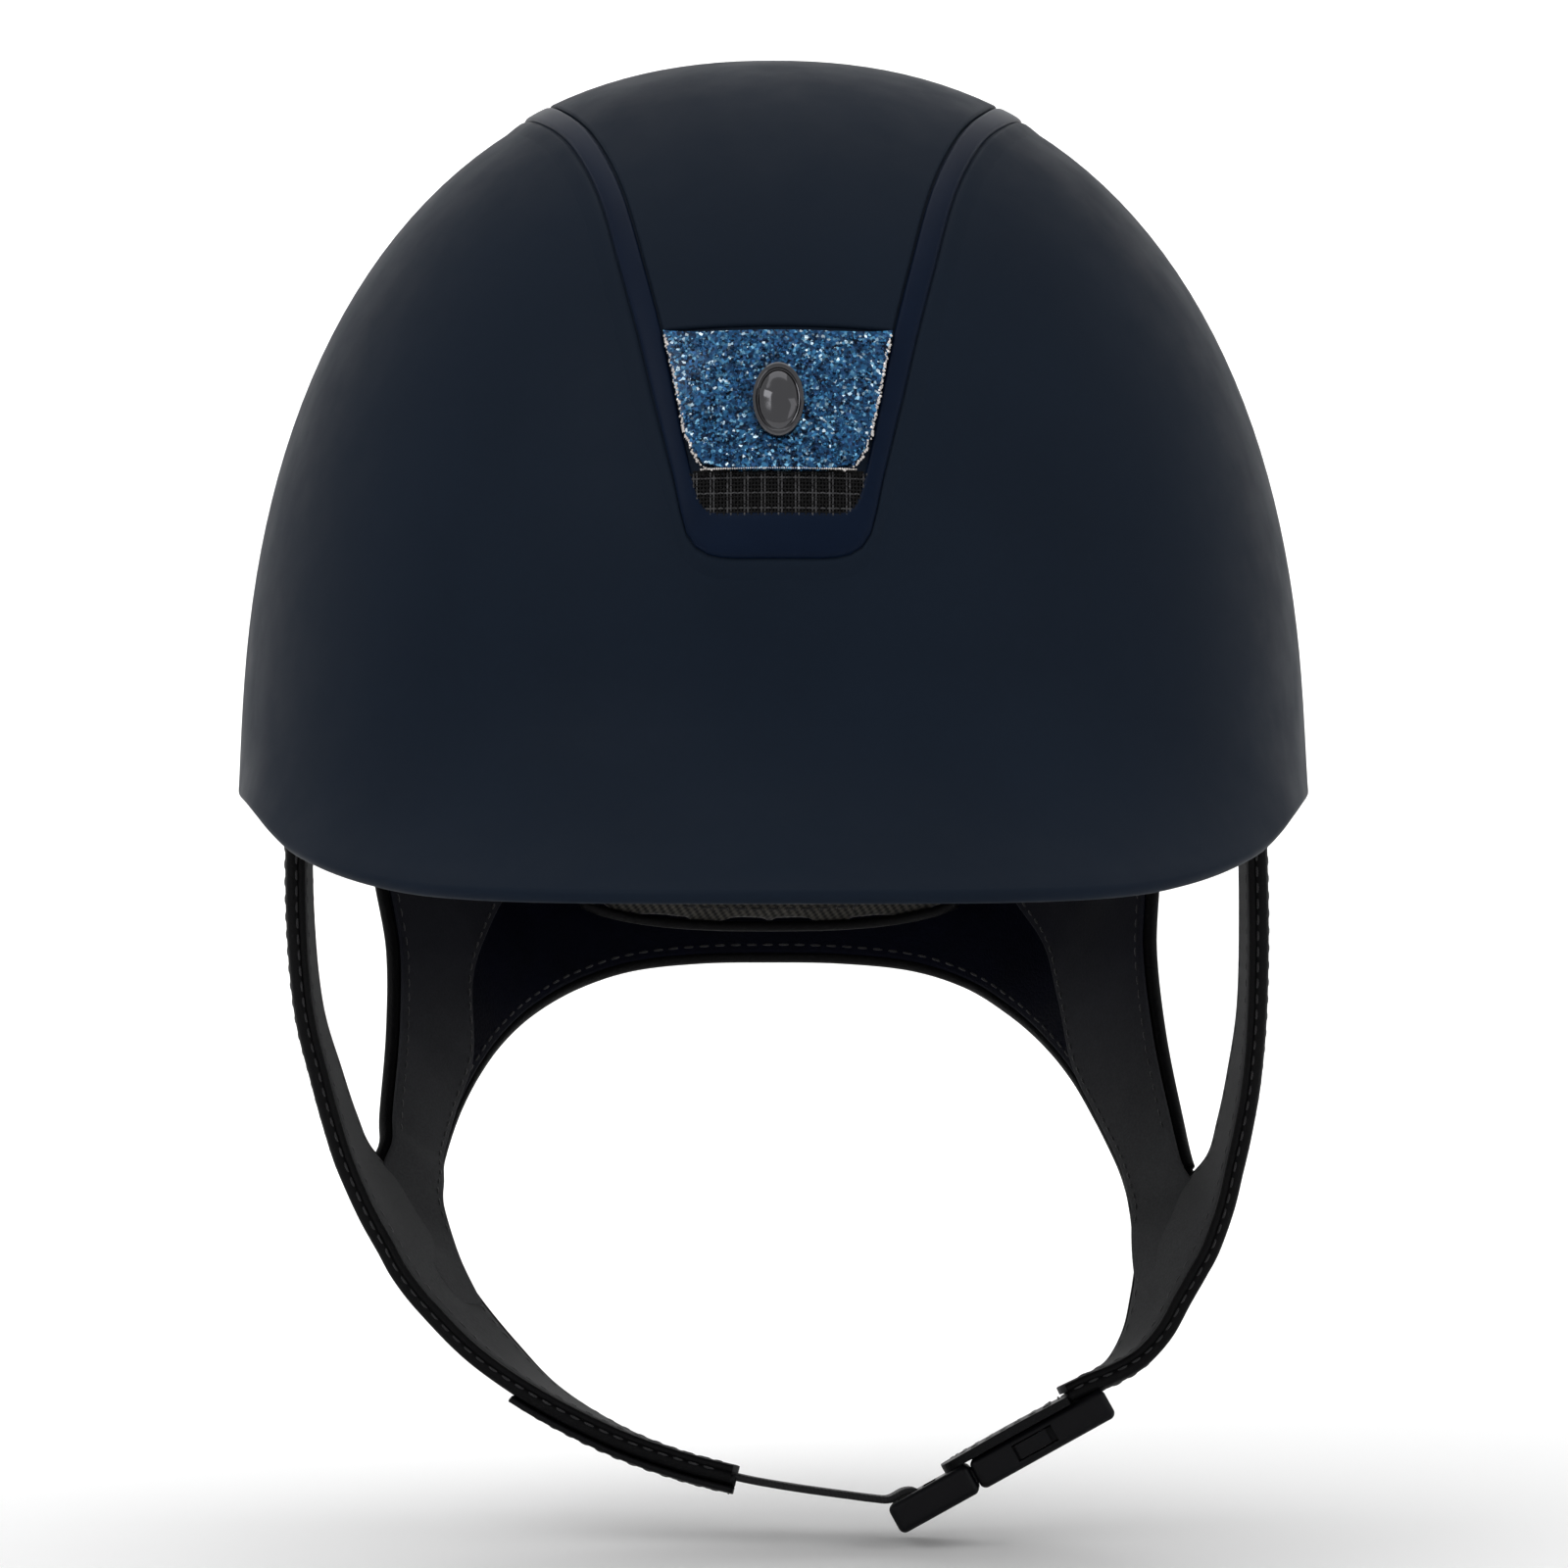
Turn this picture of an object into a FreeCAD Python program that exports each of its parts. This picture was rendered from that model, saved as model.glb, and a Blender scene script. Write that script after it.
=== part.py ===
import FreeCAD, Part
import math
import os

# Equestrian riding helmet. Millimetres. -Y is the front, +X the wearer's left,
# +Z up. z = 0 is the side rim of the shell, y = 0 its widest section.

V = FreeCAD.Vector

# ---- shell -----------------------------------------------------------------
HALF_WIDTH = 107.2
HEIGHT = 148.5
DOME_FRONT = 125.0
DOME_REAR = 130.0
PEAK_REACH = 158.0
PROFILE_POWER = 2.3
PLAN_POWER = 2.15
FLARE_TOP = 28.0
FLARE_POWER = 2.2
REAR_TUCK = 5.0
SHELL_WALL = 3.0
LIP_DROP = 0.75
LIP_SHOULDER = 0.35
TUCK_LIMIT = 1.3
# rim height by angle from straight ahead, degrees: mm
RIM = [(0, -14.4), (20, -14.3), (30, -12.9), (45, -7.4), (52, -3.6), (58, -0.6),
       (65, 1.6), (75, 2.6), (90, 2.6), (110, -0.5), (135, -8.0), (160, -15.0), (180, -17.0)]

# ---- layers under the shell, as depths below the dome's outer face ----------
FOAM_OUT = 3.4
FOAM_IN = 23.0
FOAM_RISE = 6.0
FOAM_LIP = 0.2
FOAM_LIP_DROP = 0.6
PAD_OUT = 27.6
PAD_IN = 34.0
SIDE_PAD_OUT = 23.5
SIDE_PAD_IN = 30.5
# pads: middle angle, middle height, half angle, half height
BROW_PAD = (0, 12, 46, 23)
RIGHT_PAD = (-90, 36, 34, 26)
LEFT_PAD = (90, 36, 34, 26)
NAPE_PAD = (180, 4, 44, 31.5)
PAD_EDGE = 1.02
CROWN_EDGE = 0.6

# ---- plates that close the shell from below ----------------------------------
PEAK_LINING_HALF = 46
PEAK_LINING_SETBACK = 9.0
PEAK_LINING_INNER = 8.0
PEAK_LINING_RISE_OUT = 0.4
PEAK_LINING_RISE_IN = 3.2
PEAK_LINING_THICK = 1.2
BINDING_FIRST = 49
BINDING_SETBACK = 2.6
BINDING_INNER = 2.0
BINDING_RISE = 1.6
BINDING_THICK = 2.6

# ---- central panel and trims: (angle forward of vertical, half width) -------
STRIP_CENTRE_Z = 20.0
RAIL_OUTER = [(-92, 17.0), (-80, 22.0), (-60, 31.0), (-35, 42.0), (-10, 49.5),
              (6, 49.8), (18, 46.2), (30, 39.2), (40, 33.6), (50, 29.2),
              (58, 25.4), (65, 22.2), (71, 19.0), (76, 16.8)]
RAIL_INNER = [(-92, 12.0), (-80, 17.0), (-60, 26.0), (-35, 37.0), (-10, 44.5),
              (6, 45.0), (18, 41.8), (30, 35.0), (40, 29.4), (50, 24.9),
              (58, 21.2), (65, 18.4), (71, 15.8), (76, 13.0)]
PANEL_FRONT = 57.6
BAND_TOP = 58.0
BAND_BOTTOM = 70.7
MESH_BOTTOM = 74.3
CAP_BOTTOM = 78.3
PANEL_REAR = -64.0
OUTLET_BOTTOM = -84.0
REAR_CAP_BOTTOM = -92.0
SKIN_GAP = 0.2
PANEL_PROUD = 0.9
RAIL_PROUD = 0.7
BAND_PROUD = 1.4
MESH_PROUD = 0.7
JOINT_GAP = 0.15
PANEL_GAP = 0.6
RAIL_END = 1.2
CAP_HALF = 16.6
CAP_NARROWING = 5.2

# ---- air openings in shell and foam ------------------------------------------
INLET_EDGE = 0.6
INLET_HALF = 11.0
OUTLET_LOW_EDGE = 3
OUTLET_HIGH_EDGE = 4
OUTLET_HALF = 13.0
WINDOW_DEEP = 26.0
CHANNEL_HALF = 17.0
CHANNEL_DEPTH = 14.0
CHANNEL_DEEP = 40.0
CHANNEL_TALL = 9.0

# ---- badge ------------------------------------------------------------------
BADGE_ANGLE = 64.7
BADGE_WIDE = 9.5
BADGE_TALL = 15.0
BADGE_THICK = 2.2
BADGE_LIFT = 0.6
PIN_LIFT = 0.5
PIN_FIT = 0.1
HOLE_DEEP = 12.0
PIN_RADIUS = 1.2
PIN_LENGTH = 1.9

# ---- harness: (front edge, rear edge) stations, wearer's right then left -----
FRONT_STRAP_RIGHT = [((-95.0, -26, -0.5), (-95.0, -6, -0.5)), ((-95.0, -25, -22), (-94.6, -5, -22)),
                     ((-93.7, -22, -41), (-92.9, -2, -41)), ((-90.8, -18, -55), (-89.0, 3, -55)),
                     ((-88.3, -15, -65), (-85.6, 6.5, -65))]
FRONT_STRAP_LEFT = [((96.0, -26, -0.5), (96.0, -6, -0.5)), ((96.6, -25, -22), (96.2, -5, -22)),
                    ((96.6, -22, -41), (95.8, -2, -41)), ((95.9, -18, -55), (94.0, 3, -55)),
                    ((94.5, -15, -65), (91.8, 6.5, -65))]
# junction columns from front to rear: (top, bottom)
JUNCTION_RIGHT = [((-88.0, -15, -66), (-81.4, -14, -83.3)), ((-86.8, -5, -66), (-79.4, -6, -85.6)),
                  ((-85.2, 6, -67), (-76.2, 3, -86.2)), ((-82.6, 9.5, -70.5), (-72.4, 11, -84.6)),
                  ((-80.0, 12.0, -73.6), (-68.8, 20.2, -80.4))]
JUNCTION_LEFT = [((94.2, -15, -66), (90.2, -14, -83.3)), ((92.9, -5, -66), (87.8, -6, -85.6)),
                 ((91.4, 6, -67), (84.0, 3, -86.2)), ((89.4, 8, -71.5), (79.4, 11, -85.4)),
                 ((86.6, 10.4, -75.6), (74.6, 20.2, -81.4))]
LOWER_RIGHT = [((-77.9, -14.2, -89.2), (-66.9, 12.8, -89.8)), ((-75.0, -13.6, -94.5), (-64.4, 11.3, -95.2)),
               ((-70.0, -12.5, -101), (-60.7, 9.5, -102)), ((-60.2, -11, -111), (-53.0, 9.4, -111.6)),
               ((-47.4, -10, -119.8), (-44.4, 10, -121)), ((-32.4, -10, -127.4), (-31.2, 10, -129.4)),
               ((-19.2, -10, -132.2), (-19.0, 10, -134.5)), ((-7.2, -10, -135.4), (-7.2, 10, -137.6))]
LOWER_LEFT = [((88.4, -14.2, -89.2), (75.2, 12.8, -89.8)), ((86.1, -13.6, -94.2), (75.2, 11.3, -95.2)),
              ((83.2, -12.6, -99.6), (74.6, 10.2, -100.8)), ((78.9, -11.4, -105.6), (72.8, 10, -107)),
              ((74.0, -10.8, -110.8), (70.6, 10.2, -112.8)), ((66.9, -10.6, -112.4), (66.2, 10.4, -114.8)),
              ((60.6, -10.5, -115.2), (61.4, 10.5, -117.6))]
YOKE_RIGHT = [((-79.9, 13.6, -72.2), (-68.6, 22.6, -80.4)), ((-80.2, 20, -64), (-68.7, 30.5, -75)),
              ((-79.4, 31, -47), (-66.8, 42, -66)), ((-79.8, 38, -30), (-62.8, 52, -57.6)),
              ((-83.0, 44, -11), (-57.6, 62.5, -50.4)), ((-78.4, 57, -6), (-50.6, 74, -44.4)),
              ((-67.0, 73, -8), (-41.0, 85.5, -39.4)), ((-50.0, 88, -10), (-29.5, 93, -36)),
              ((-26.0, 98.5, -11), (-15.0, 98.2, -34.6))]
YOKE_LEFT = [((86.2, 12.2, -74.0), (74.4, 22.6, -80.4)), ((84.2, 20, -65), (72.9, 30.5, -75)),
             ((81.5, 31, -48), (69.2, 42, -66.5)), ((80.0, 38, -30), (64.6, 52, -58)),
             ((81.0, 44, -11), (59.0, 62.5, -51)), ((78.0, 57, -6), (52.0, 74, -45)),
             ((67.0, 73, -8), (43.0, 85.5, -39.6)), ((50.0, 88, -10), (31.0, 93, -36)),
             ((26.0, 98.5, -11), (15.6, 98.2, -34.6))]
YOKE_BACK = ((0.0, 101.4, -12), (0.0, 99.4, -34.4))
ANCHOR_X = 95.0
ANCHOR_Y = -16.0
ANCHOR_BOTTOM = -9.0
ANCHOR_THICK = 1.4
ANCHOR_WIDE = 14.0
ANCHOR_TALL = 24.0
POCKET_GROW = 1.0
BINDING_SLOT_GROW = 0.6
STRAP_SLOT_GROW = 0.3
LEATHER = 2.2
LINING = 1.4
LEATHER_SEAT = 0.2
LINING_SEAT = 0.4
YOKE_SHIFT = 0.6
SLEEVE = 1.6
SLEEVE_START = 0.46
WEBBING_PATH = [(-6.3, -136.8), (0.5, -138.1), (7.5, -139.2), (14.0, -140.1), (22.8, -141.4)]
WEBBING_HALF = 9.0
WEBBING_THICK = 1.6
WEBBING_DROP = 0.95

# ---- buckle: local frame is length, width (front to rear), thickness ---------
BUCKLE_CENTRE = (46.3, 0.0, -133.4)
BUCKLE_TILT = 29.0
BUCKLE_ROLL = 6.0
BUCKLE_THICK = 6.4
BUCKLE_WIDE = 25.0
BUCKLE_ROUND = 1.4
MALE_START = -24.4
MALE_END = -6.2
FEMALE_START = -5.8
FEMALE_END = 25.0
MALE_SLOTS = [(-22.4, -19.4), (-16.4, -13.4)]
FEMALE_SLOT = (18.8, 22.0)
PRONG_ROOM = 0.4
PRONG_ROOM_OUT = 0.6
PRONG_ROOM_UP = 0.2
PRONG_HINGE = 8.4
ROOT_ROOM = 2.6
TONGUE_HALF_THICK = 1.4
CAVITY_END = 16.0
CAVITY_WIDE = 22.4
CAVITY_TALL = 3.6
TONGUE_WIDE = 5.0
TONGUE_END = 11.0
PRONG_INNER = 6.2
PRONG_OUTER = 10.6
BARB_OUTER = 11.9
PRONG_START = -9.0
PRONG_END = 13.0
BARB_START = 4.0
PRONG_TALL = 3.0
WINDOW_START = 3.4
WINDOW_END = 12.4
SLOT_WIDE = 20.0
# loop through the socket's slot and over its bar: (length, thickness)
LOOP_PATH = [(20.3, -3.0), (20.3, -1.2), (20.3, 0.6), (20.3, 2.4), (21.1, 3.95), (23.0, 4.3),
             (25.0, 4.2), (27.0, 4.1)]
LOOP_HALF_WIDE = 8.5
LOOP_HALF_THICK = 0.7
FLAP_START = -11.0
FLAP_END = 18.0
FLAP_BOTTOM = 3.4
FLAP_THICK = 2.0
FLAP_WIDE = 27.0
FLAP_ROUND = 9.0

RING_POINTS = 48
DOME_STEP = 6
PAD_POINTS = 32
PAD_SQUARE = 0.6
PAD_SHARES = [0.3, 0.6, 0.82, 0.95]
CROWN_ANGLES = [84, 78, 74, 72]
PRONG_ROOT = 2.2
HEAD_CENTRE = V(0, 0, -40)
LOW_SHARES = [0.0, 0.08, 0.25, 0.5, 0.75]
PROBE = 0.05
PROBE_ANGLE = 0.3
PROBE_FINE = 0.01
FAR = 200.0
HALVINGS = 48


def table_value(table, at):
    """Smooth value between the (station, value) pairs of a table."""
    if at <= table[0][0]:
        return table[0][1]
    if at >= table[-1][0]:
        return table[-1][1]
    for i in range(len(table) - 1):
        if table[i][0] <= at <= table[i + 1][0]:
            break
    x0, y0 = table[i]
    x1, y1 = table[i + 1]
    before = table[max(i - 1, 0)]
    after = table[min(i + 2, len(table) - 1)]
    slope0 = (y1 - before[1]) / (x1 - before[0])
    slope1 = (after[1] - y0) / (after[0] - x0)
    span = x1 - x0
    t = (at - x0) / span
    return ((2 * t ** 3 - 3 * t ** 2 + 1) * y0 + (t ** 3 - 2 * t ** 2 + t) * span * slope0
            + (3 * t ** 2 - 2 * t ** 3) * y1 + (t ** 3 - t ** 2) * span * slope1)


def plan_radius(phi, front):
    """Radius of an egg-shaped outline at phi degrees from straight ahead."""
    along = front if math.cos(math.radians(phi)) > 0 else DOME_REAR
    side = abs(math.sin(math.radians(phi))) / HALF_WIDTH
    ahead = abs(math.cos(math.radians(phi))) / along
    return (side ** PLAN_POWER + ahead ** PLAN_POWER) ** (-1 / PLAN_POWER)


def rim_height(phi):
    return table_value(RIM, abs((phi + 180) % 360 - 180))


def dome_radius(phi, z, flared):
    """Distance of the dome's outer face from the vertical centre line."""
    base = plan_radius(phi, DOME_FRONT)
    level = max(z, 0.0) / HEIGHT
    radius = base * max(1 - level ** PROFILE_POWER, 0.0) ** (1 / PROFILE_POWER)
    if z < 0 and math.cos(math.radians(phi)) < 0:
        drop = min(z / RIM[-1][1], TUCK_LIMIT)
        radius -= REAR_TUCK * drop ** 2 * abs(math.cos(math.radians(phi)))
    if flared and z < FLARE_TOP:
        lip = rim_height(phi)
        share = (FLARE_TOP - z) / (FLARE_TOP - lip)
        radius += (plan_radius(phi, PEAK_REACH) - base) * share ** FLARE_POWER
    return radius


def dome_point(phi, z, flared):
    radius = dome_radius(phi, z, flared)
    side = math.sin(math.radians(phi))
    ahead = math.cos(math.radians(phi))
    return V(radius * side, -radius * ahead, z)


def climb(bottom):
    """Heights from the bottom edge to just short of the crown."""
    heights = []
    for angle in range(DOME_STEP, 90, DOME_STEP):
        a = math.radians(angle)
        scale = math.cos(a) ** PROFILE_POWER + math.sin(a) ** PROFILE_POWER
        heights.append(HEIGHT * math.sin(a) * scale ** (-1 / PROFILE_POWER))
    low = [bottom + (heights[0] - bottom) * share for share in LOW_SHARES]
    return low + heights


def dome_normal(phi, z, flared):
    """Outward direction of the dome's face."""
    top = min(z + PROBE, HEIGHT - 0.001)
    here = dome_point(phi, z, flared)
    up = dome_point(phi, top, flared) - dome_point(phi, top - 2 * PROBE, flared)
    across = dome_point(phi + PROBE_ANGLE, z, flared) - dome_point(phi - PROBE_ANGLE, z, flared)
    normal = across.cross(up)
    normal.normalize()
    if normal.dot(here) < 0:
        normal = normal * -1
    return normal


def inside(phi, z, depth, flared=False):
    """Point a given depth below the dome's outer face."""
    return dome_point(phi, z, flared) - dome_normal(phi, z, flared) * depth


def settle(ring):
    """Control points whose closed spline passes through the ring's points."""
    n = len(ring)
    return [ring[i] * (4 / 3) - (ring[i - 1] + ring[(i + 1) % n]) * (1 / 6) for i in range(n)]


def skin_solid(start, rings, end):
    """Closed solid whose skin runs from a point, over rings, to a point."""
    count = len(rings[0])
    rows = [[start] * count] + rings + [[end] * count]
    solid = wrap_skin(rows, count)
    if solid.Volume < 0:
        solid = wrap_skin(list(reversed(rows)), count)
    return solid


def wrap_skin(rows, count):
    poles = [[rows[j][i] for j in range(len(rows))] for i in range(count)]
    u_knots = list(range(count + 1))
    v_knots = list(range(len(rows) - 2))
    v_mults = [4] + [1] * (len(v_knots) - 2) + [4]
    surface = Part.BSplineSurface()
    surface.buildFromPolesMultsKnots(poles, [1] * (count + 1), v_mults, u_knots, v_knots,
                                     True, False, 3, 3)
    return Part.Solid(Part.Shell([surface.toShape()]))


def through_points(grid):
    surface = Part.BSplineSurface()
    surface.interpolate(grid)
    return surface


def from_net(grid):
    """Surface drawn smoothly over a net of control points."""
    rows = len(grid)
    columns = len(grid[0])
    u_knots = list(range(rows - 2))
    v_knots = list(range(columns - 2))
    u_mults = [4] + [1] * (rows - 4) + [4]
    v_mults = [4] + [1] * (columns - 4) + [4]
    surface = Part.BSplineSurface()
    surface.buildFromPolesMultsKnots(grid, u_mults, v_mults, u_knots, v_knots, False, False, 3, 3)
    return surface


def plate(outer, inner, draw=through_points):
    """Closed solid between two grids of points with matching edges."""
    faces = []
    edges = []
    for grid in (outer, inner):
        surface = draw(grid)
        low_u, high_u, low_v, high_v = surface.bounds()
        faces.append(surface.toShape())
        edges.append([surface.uIso(low_u), surface.uIso(high_u),
                      surface.vIso(low_v), surface.vIso(high_v)])
    for first, second in zip(edges[0], edges[1]):
        faces.append(Part.makeRuledSurface(first.toShape(), second.toShape()))
    shell = Part.Shell(faces)
    shell.sewShape()
    solid = Part.Solid(shell)
    if solid.Volume < 0:
        solid.reverse()
    return solid


def box_at(centre, x_dir, y_dir, size):
    """Block centred on a point with its sides along two given directions."""
    x_dir = V(x_dir)
    x_dir.normalize()
    z_dir = x_dir.cross(y_dir)
    z_dir.normalize()
    y_dir = z_dir.cross(x_dir)
    block = Part.makeBox(size[0], size[1], size[2], V(-size[0] / 2, -size[1] / 2, -size[2] / 2))
    block.Placement = placement(centre, x_dir, y_dir, z_dir)
    return block


def placement(origin, x_dir, y_dir, z_dir):
    matrix = FreeCAD.Matrix(x_dir.x, y_dir.x, z_dir.x, origin.x,
                            x_dir.y, y_dir.y, z_dir.y, origin.y,
                            x_dir.z, y_dir.z, z_dir.z, origin.z,
                            0, 0, 0, 1)
    return FreeCAD.Placement(matrix)


# ---- points on the dome along the central strip ------------------------------

def dome_level(p):
    """Below 0 inside the dome, above 0 outside it."""
    along = DOME_FRONT if p.y < 0 else DOME_REAR
    plan = (abs(p.x) / HALF_WIDTH) ** PLAN_POWER + (abs(p.y) / along) ** PLAN_POWER
    rise = (max(p.z, 0.0) / HEIGHT) ** PROFILE_POWER
    return plan ** (PROFILE_POWER / PLAN_POWER) + rise - 1


def strip_point(angle, x, proud):
    """Point over the dome at an angle forward of vertical, x to the side."""
    a = math.radians(angle)
    near = 0.0
    far = FAR
    for _ in range(HALVINGS):
        middle = (near + far) / 2
        p = V(x, -middle * math.sin(a), STRIP_CENTRE_Z + middle * math.cos(a))
        if dome_level(p) < 0:
            near = middle
        else:
            far = middle
    p = V(x, -near * math.sin(a), STRIP_CENTRE_Z + near * math.cos(a))
    step = PROBE_FINE
    slope = V(dome_level(p + V(step, 0, 0)) - dome_level(p - V(step, 0, 0)),
              dome_level(p + V(0, step, 0)) - dome_level(p - V(0, step, 0)),
              dome_level(p + V(0, 0, step)) - dome_level(p - V(0, 0, step)))
    slope.normalize()
    return p + slope * proud


def strip_plate(first, last, left_edge, right_edge, low, high, along=14, across=7):
    """Plate on the dome between two angles and two side edges (functions)."""
    grids = []
    for proud in (high, low):
        grid = []
        for i in range(along):
            angle = first + (last - first) * i / (along - 1)
            left = left_edge(angle)
            right = right_edge(angle)
            grid.append([strip_point(angle, left + (right - left) * j / (across - 1), proud)
                         for j in range(across)])
        grids.append(grid)
    return plate(grids[0], grids[1])


def rail_outer(angle):
    return table_value(RAIL_OUTER, angle)


def rail_inner(angle):
    return table_value(RAIL_INNER, angle)


def dome_rings(bottom_of, depth, flared):
    """Rings of a dome face from its bottom edge up, as settled control points."""
    columns = []
    for i in range(RING_POINTS):
        phi = 360 * i / RING_POINTS + 180
        bottom = bottom_of(phi)
        columns.append([inside(phi, z, depth, flared) for z in climb(bottom)])
    return [settle(list(ring)) for ring in zip(*columns)]


def build_shell():
    """Hard outer shell with its peak, one wall, open below."""
    outer = dome_rings(rim_height, 0.0, True)
    inner = dome_rings(rim_height, SHELL_WALL, True)
    lip = []
    for a, b, c, d in zip(outer[0], inner[0], outer[1], inner[1]):
        down = (a - c) + (b - d)
        down.normalize()
        lip.append(((a + b) * 0.5 + down * SHELL_WALL * LIP_DROP, down))
    outer_low = [a + t[1] * SHELL_WALL * LIP_SHOULDER for a, t in zip(outer[0], lip)]
    inner_low = [b + t[1] * SHELL_WALL * LIP_SHOULDER for b, t in zip(inner[0], lip)]
    rings = list(reversed(outer)) + [outer_low, [t[0] for t in lip], inner_low] + inner
    solid = skin_solid(V(0, 0, HEIGHT), rings, V(0, 0, HEIGHT - SHELL_WALL))
    return solid.cut([window(BAND_BOTTOM + INLET_EDGE, MESH_BOTTOM - INLET_EDGE, INLET_HALF),
                      window(OUTLET_BOTTOM + OUTLET_LOW_EDGE, PANEL_REAR - OUTLET_HIGH_EDGE,
                             OUTLET_HALF)])


def window(low_angle, high_angle, half):
    """Prism that cuts an air opening square through the dome wall."""
    middle = math.radians((low_angle + high_angle) / 2)
    outward = V(0, -math.sin(middle), math.cos(middle))
    a = strip_point(low_angle, 0, 0)
    b = strip_point(high_angle, 0, 0)
    centre = (a + b) * 0.5
    return box_at(centre, V(1, 0, 0), outward, (2 * half, WINDOW_DEEP, (a - b).Length))


def build_foam():
    """Energy-absorbing foam liner under the shell, with its anchor pockets."""
    outer = dome_rings(foam_bottom, FOAM_OUT, False)
    inner = dome_rings(foam_bottom, FOAM_IN, False)
    drop = V(0, 0, FOAM_LIP_DROP)
    outer_low = [a + (b - a) * FOAM_LIP - drop for a, b in zip(outer[0], inner[0])]
    inner_low = [b + (a - b) * FOAM_LIP - drop for a, b in zip(outer[0], inner[0])]
    rings = list(reversed(outer)) + [outer_low, inner_low] + inner
    solid = skin_solid(V(0, 0, HEIGHT - FOAM_OUT), rings, V(0, 0, HEIGHT - FOAM_IN))
    cuts = [anchor_box(side, POCKET_GROW) for side in (-1, 1)]
    cuts.append(air_channel())
    return solid.cut(cuts)


def foam_bottom(phi):
    return rim_height(phi) + FOAM_RISE


def air_channel():
    """Slot through the foam behind the front air inlet."""
    middle = math.radians((BAND_BOTTOM + MESH_BOTTOM) / 2)
    outward = V(0, -math.sin(middle), math.cos(middle))
    centre = strip_point((BAND_BOTTOM + MESH_BOTTOM) / 2, 0, -CHANNEL_DEPTH)
    return box_at(centre, V(1, 0, 0), outward, (2 * CHANNEL_HALF, CHANNEL_DEEP, CHANNEL_TALL))


def anchor_box(side, grow):
    """Metal tongue that hangs a front strap, grown for its pocket."""
    x = side * ANCHOR_X
    return Part.makeBox(ANCHOR_THICK + grow, ANCHOR_WIDE + grow, ANCHOR_TALL + grow,
                        V(x - (ANCHOR_THICK + grow) / 2, ANCHOR_Y - (ANCHOR_WIDE + grow) / 2,
                          ANCHOR_BOTTOM - grow / 2))


def pad(place, out, deep):
    """Soft pad lying on the inside of the foam, round at its edges."""
    phi_middle, z_middle, phi_half, z_half = place

    def ring(share, depth):
        points = []
        for i in range(PAD_POINTS):
            a = 2 * math.pi * i / PAD_POINTS
            side = math.copysign(abs(math.cos(a)) ** PAD_SQUARE, math.cos(a))
            rise = math.copysign(abs(math.sin(a)) ** PAD_SQUARE, math.sin(a))
            points.append(inside(phi_middle + phi_half * share * side,
                                 z_middle + z_half * share * rise, depth))
        return points
    middle = (out + deep) / 2
    rings = [ring(share, out) for share in PAD_SHARES]
    rings.append(ring(PAD_EDGE, middle))
    rings += [ring(share, deep) for share in reversed(PAD_SHARES)]
    return skin_solid(inside(phi_middle, z_middle, out), rings, inside(phi_middle, z_middle, deep))


def crown_ring(angle, depth):
    a = math.radians(angle)
    scale = (math.cos(a) ** PROFILE_POWER + math.sin(a) ** PROFILE_POWER) ** (-1 / PROFILE_POWER)
    z = HEIGHT * math.sin(a) * scale
    return [inside(360 * i / PAD_POINTS, z, depth) for i in range(PAD_POINTS)]


def build_crown_pad():
    """Removable pad under the crown of the foam."""
    rings = [crown_ring(angle, SIDE_PAD_OUT) for angle in CROWN_ANGLES]
    rings.append(crown_ring(CROWN_ANGLES[-1] - CROWN_EDGE, (SIDE_PAD_OUT + SIDE_PAD_IN) / 2))
    rings += [crown_ring(angle, SIDE_PAD_IN) for angle in reversed(CROWN_ANGLES)]
    return skin_solid(V(0, 0, HEIGHT - SIDE_PAD_OUT), rings, V(0, 0, HEIGHT - SIDE_PAD_IN))


def edge_band(phi_first, phi_last, edge_out, edge_in, rise_out, rise_in, thick, steps):
    """Thin plate under the shell between two distances from the centre line."""
    top = []
    low = []
    for i in range(steps):
        phi = phi_first + (phi_last - phi_first) * i / (steps - 1)
        side = math.sin(math.radians(phi))
        ahead = math.cos(math.radians(phi))
        rim = rim_height(phi)
        row = []
        for j in range(5):
            share = j / 4
            radius = edge_out(phi) * (1 - share) + edge_in(phi) * share
            z = rim + rise_out * (1 - share) + rise_in * share
            row.append(V(radius * side, -radius * ahead, z))
        low.append(row)
        top.append([p + V(0, 0, thick) for p in row])
    return plate(top, low)


def build_peak_lining():
    """Panel that closes the underside of the peak."""
    return edge_band(-PEAK_LINING_HALF, PEAK_LINING_HALF,
                     lambda phi: dome_radius(phi, rim_height(phi), True) - PEAK_LINING_SETBACK,
                     lambda phi: plan_radius(phi, DOME_FRONT) - PEAK_LINING_INNER,
                     PEAK_LINING_RISE_OUT, PEAK_LINING_RISE_IN, PEAK_LINING_THICK, 21)


def build_rim_binding():
    """Rubber edging between shell and foam round the sides and back."""
    outer = SHELL_WALL + BINDING_SETBACK
    inner = FOAM_IN - BINDING_INNER
    band = edge_band(BINDING_FIRST, 360 - BINDING_FIRST,
                     lambda phi: dome_radius(phi, rim_height(phi), True) - outer,
                     lambda phi: dome_radius(phi, rim_height(phi), False) - inner,
                     BINDING_RISE, BINDING_RISE, BINDING_THICK, 61)
    return band.cut([anchor_box(side, BINDING_SLOT_GROW) for side in (-1, 1)])


# ---- soft harness --------------------------------------------------------------

def spread(stations, across):
    """Grid of points between the two edges of each station."""
    grid = []
    for first, second in stations:
        a = V(*first)
        b = V(*second)
        grid.append([a + (b - a) * (j / (across - 1)) for j in range(across)])
    return grid


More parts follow.
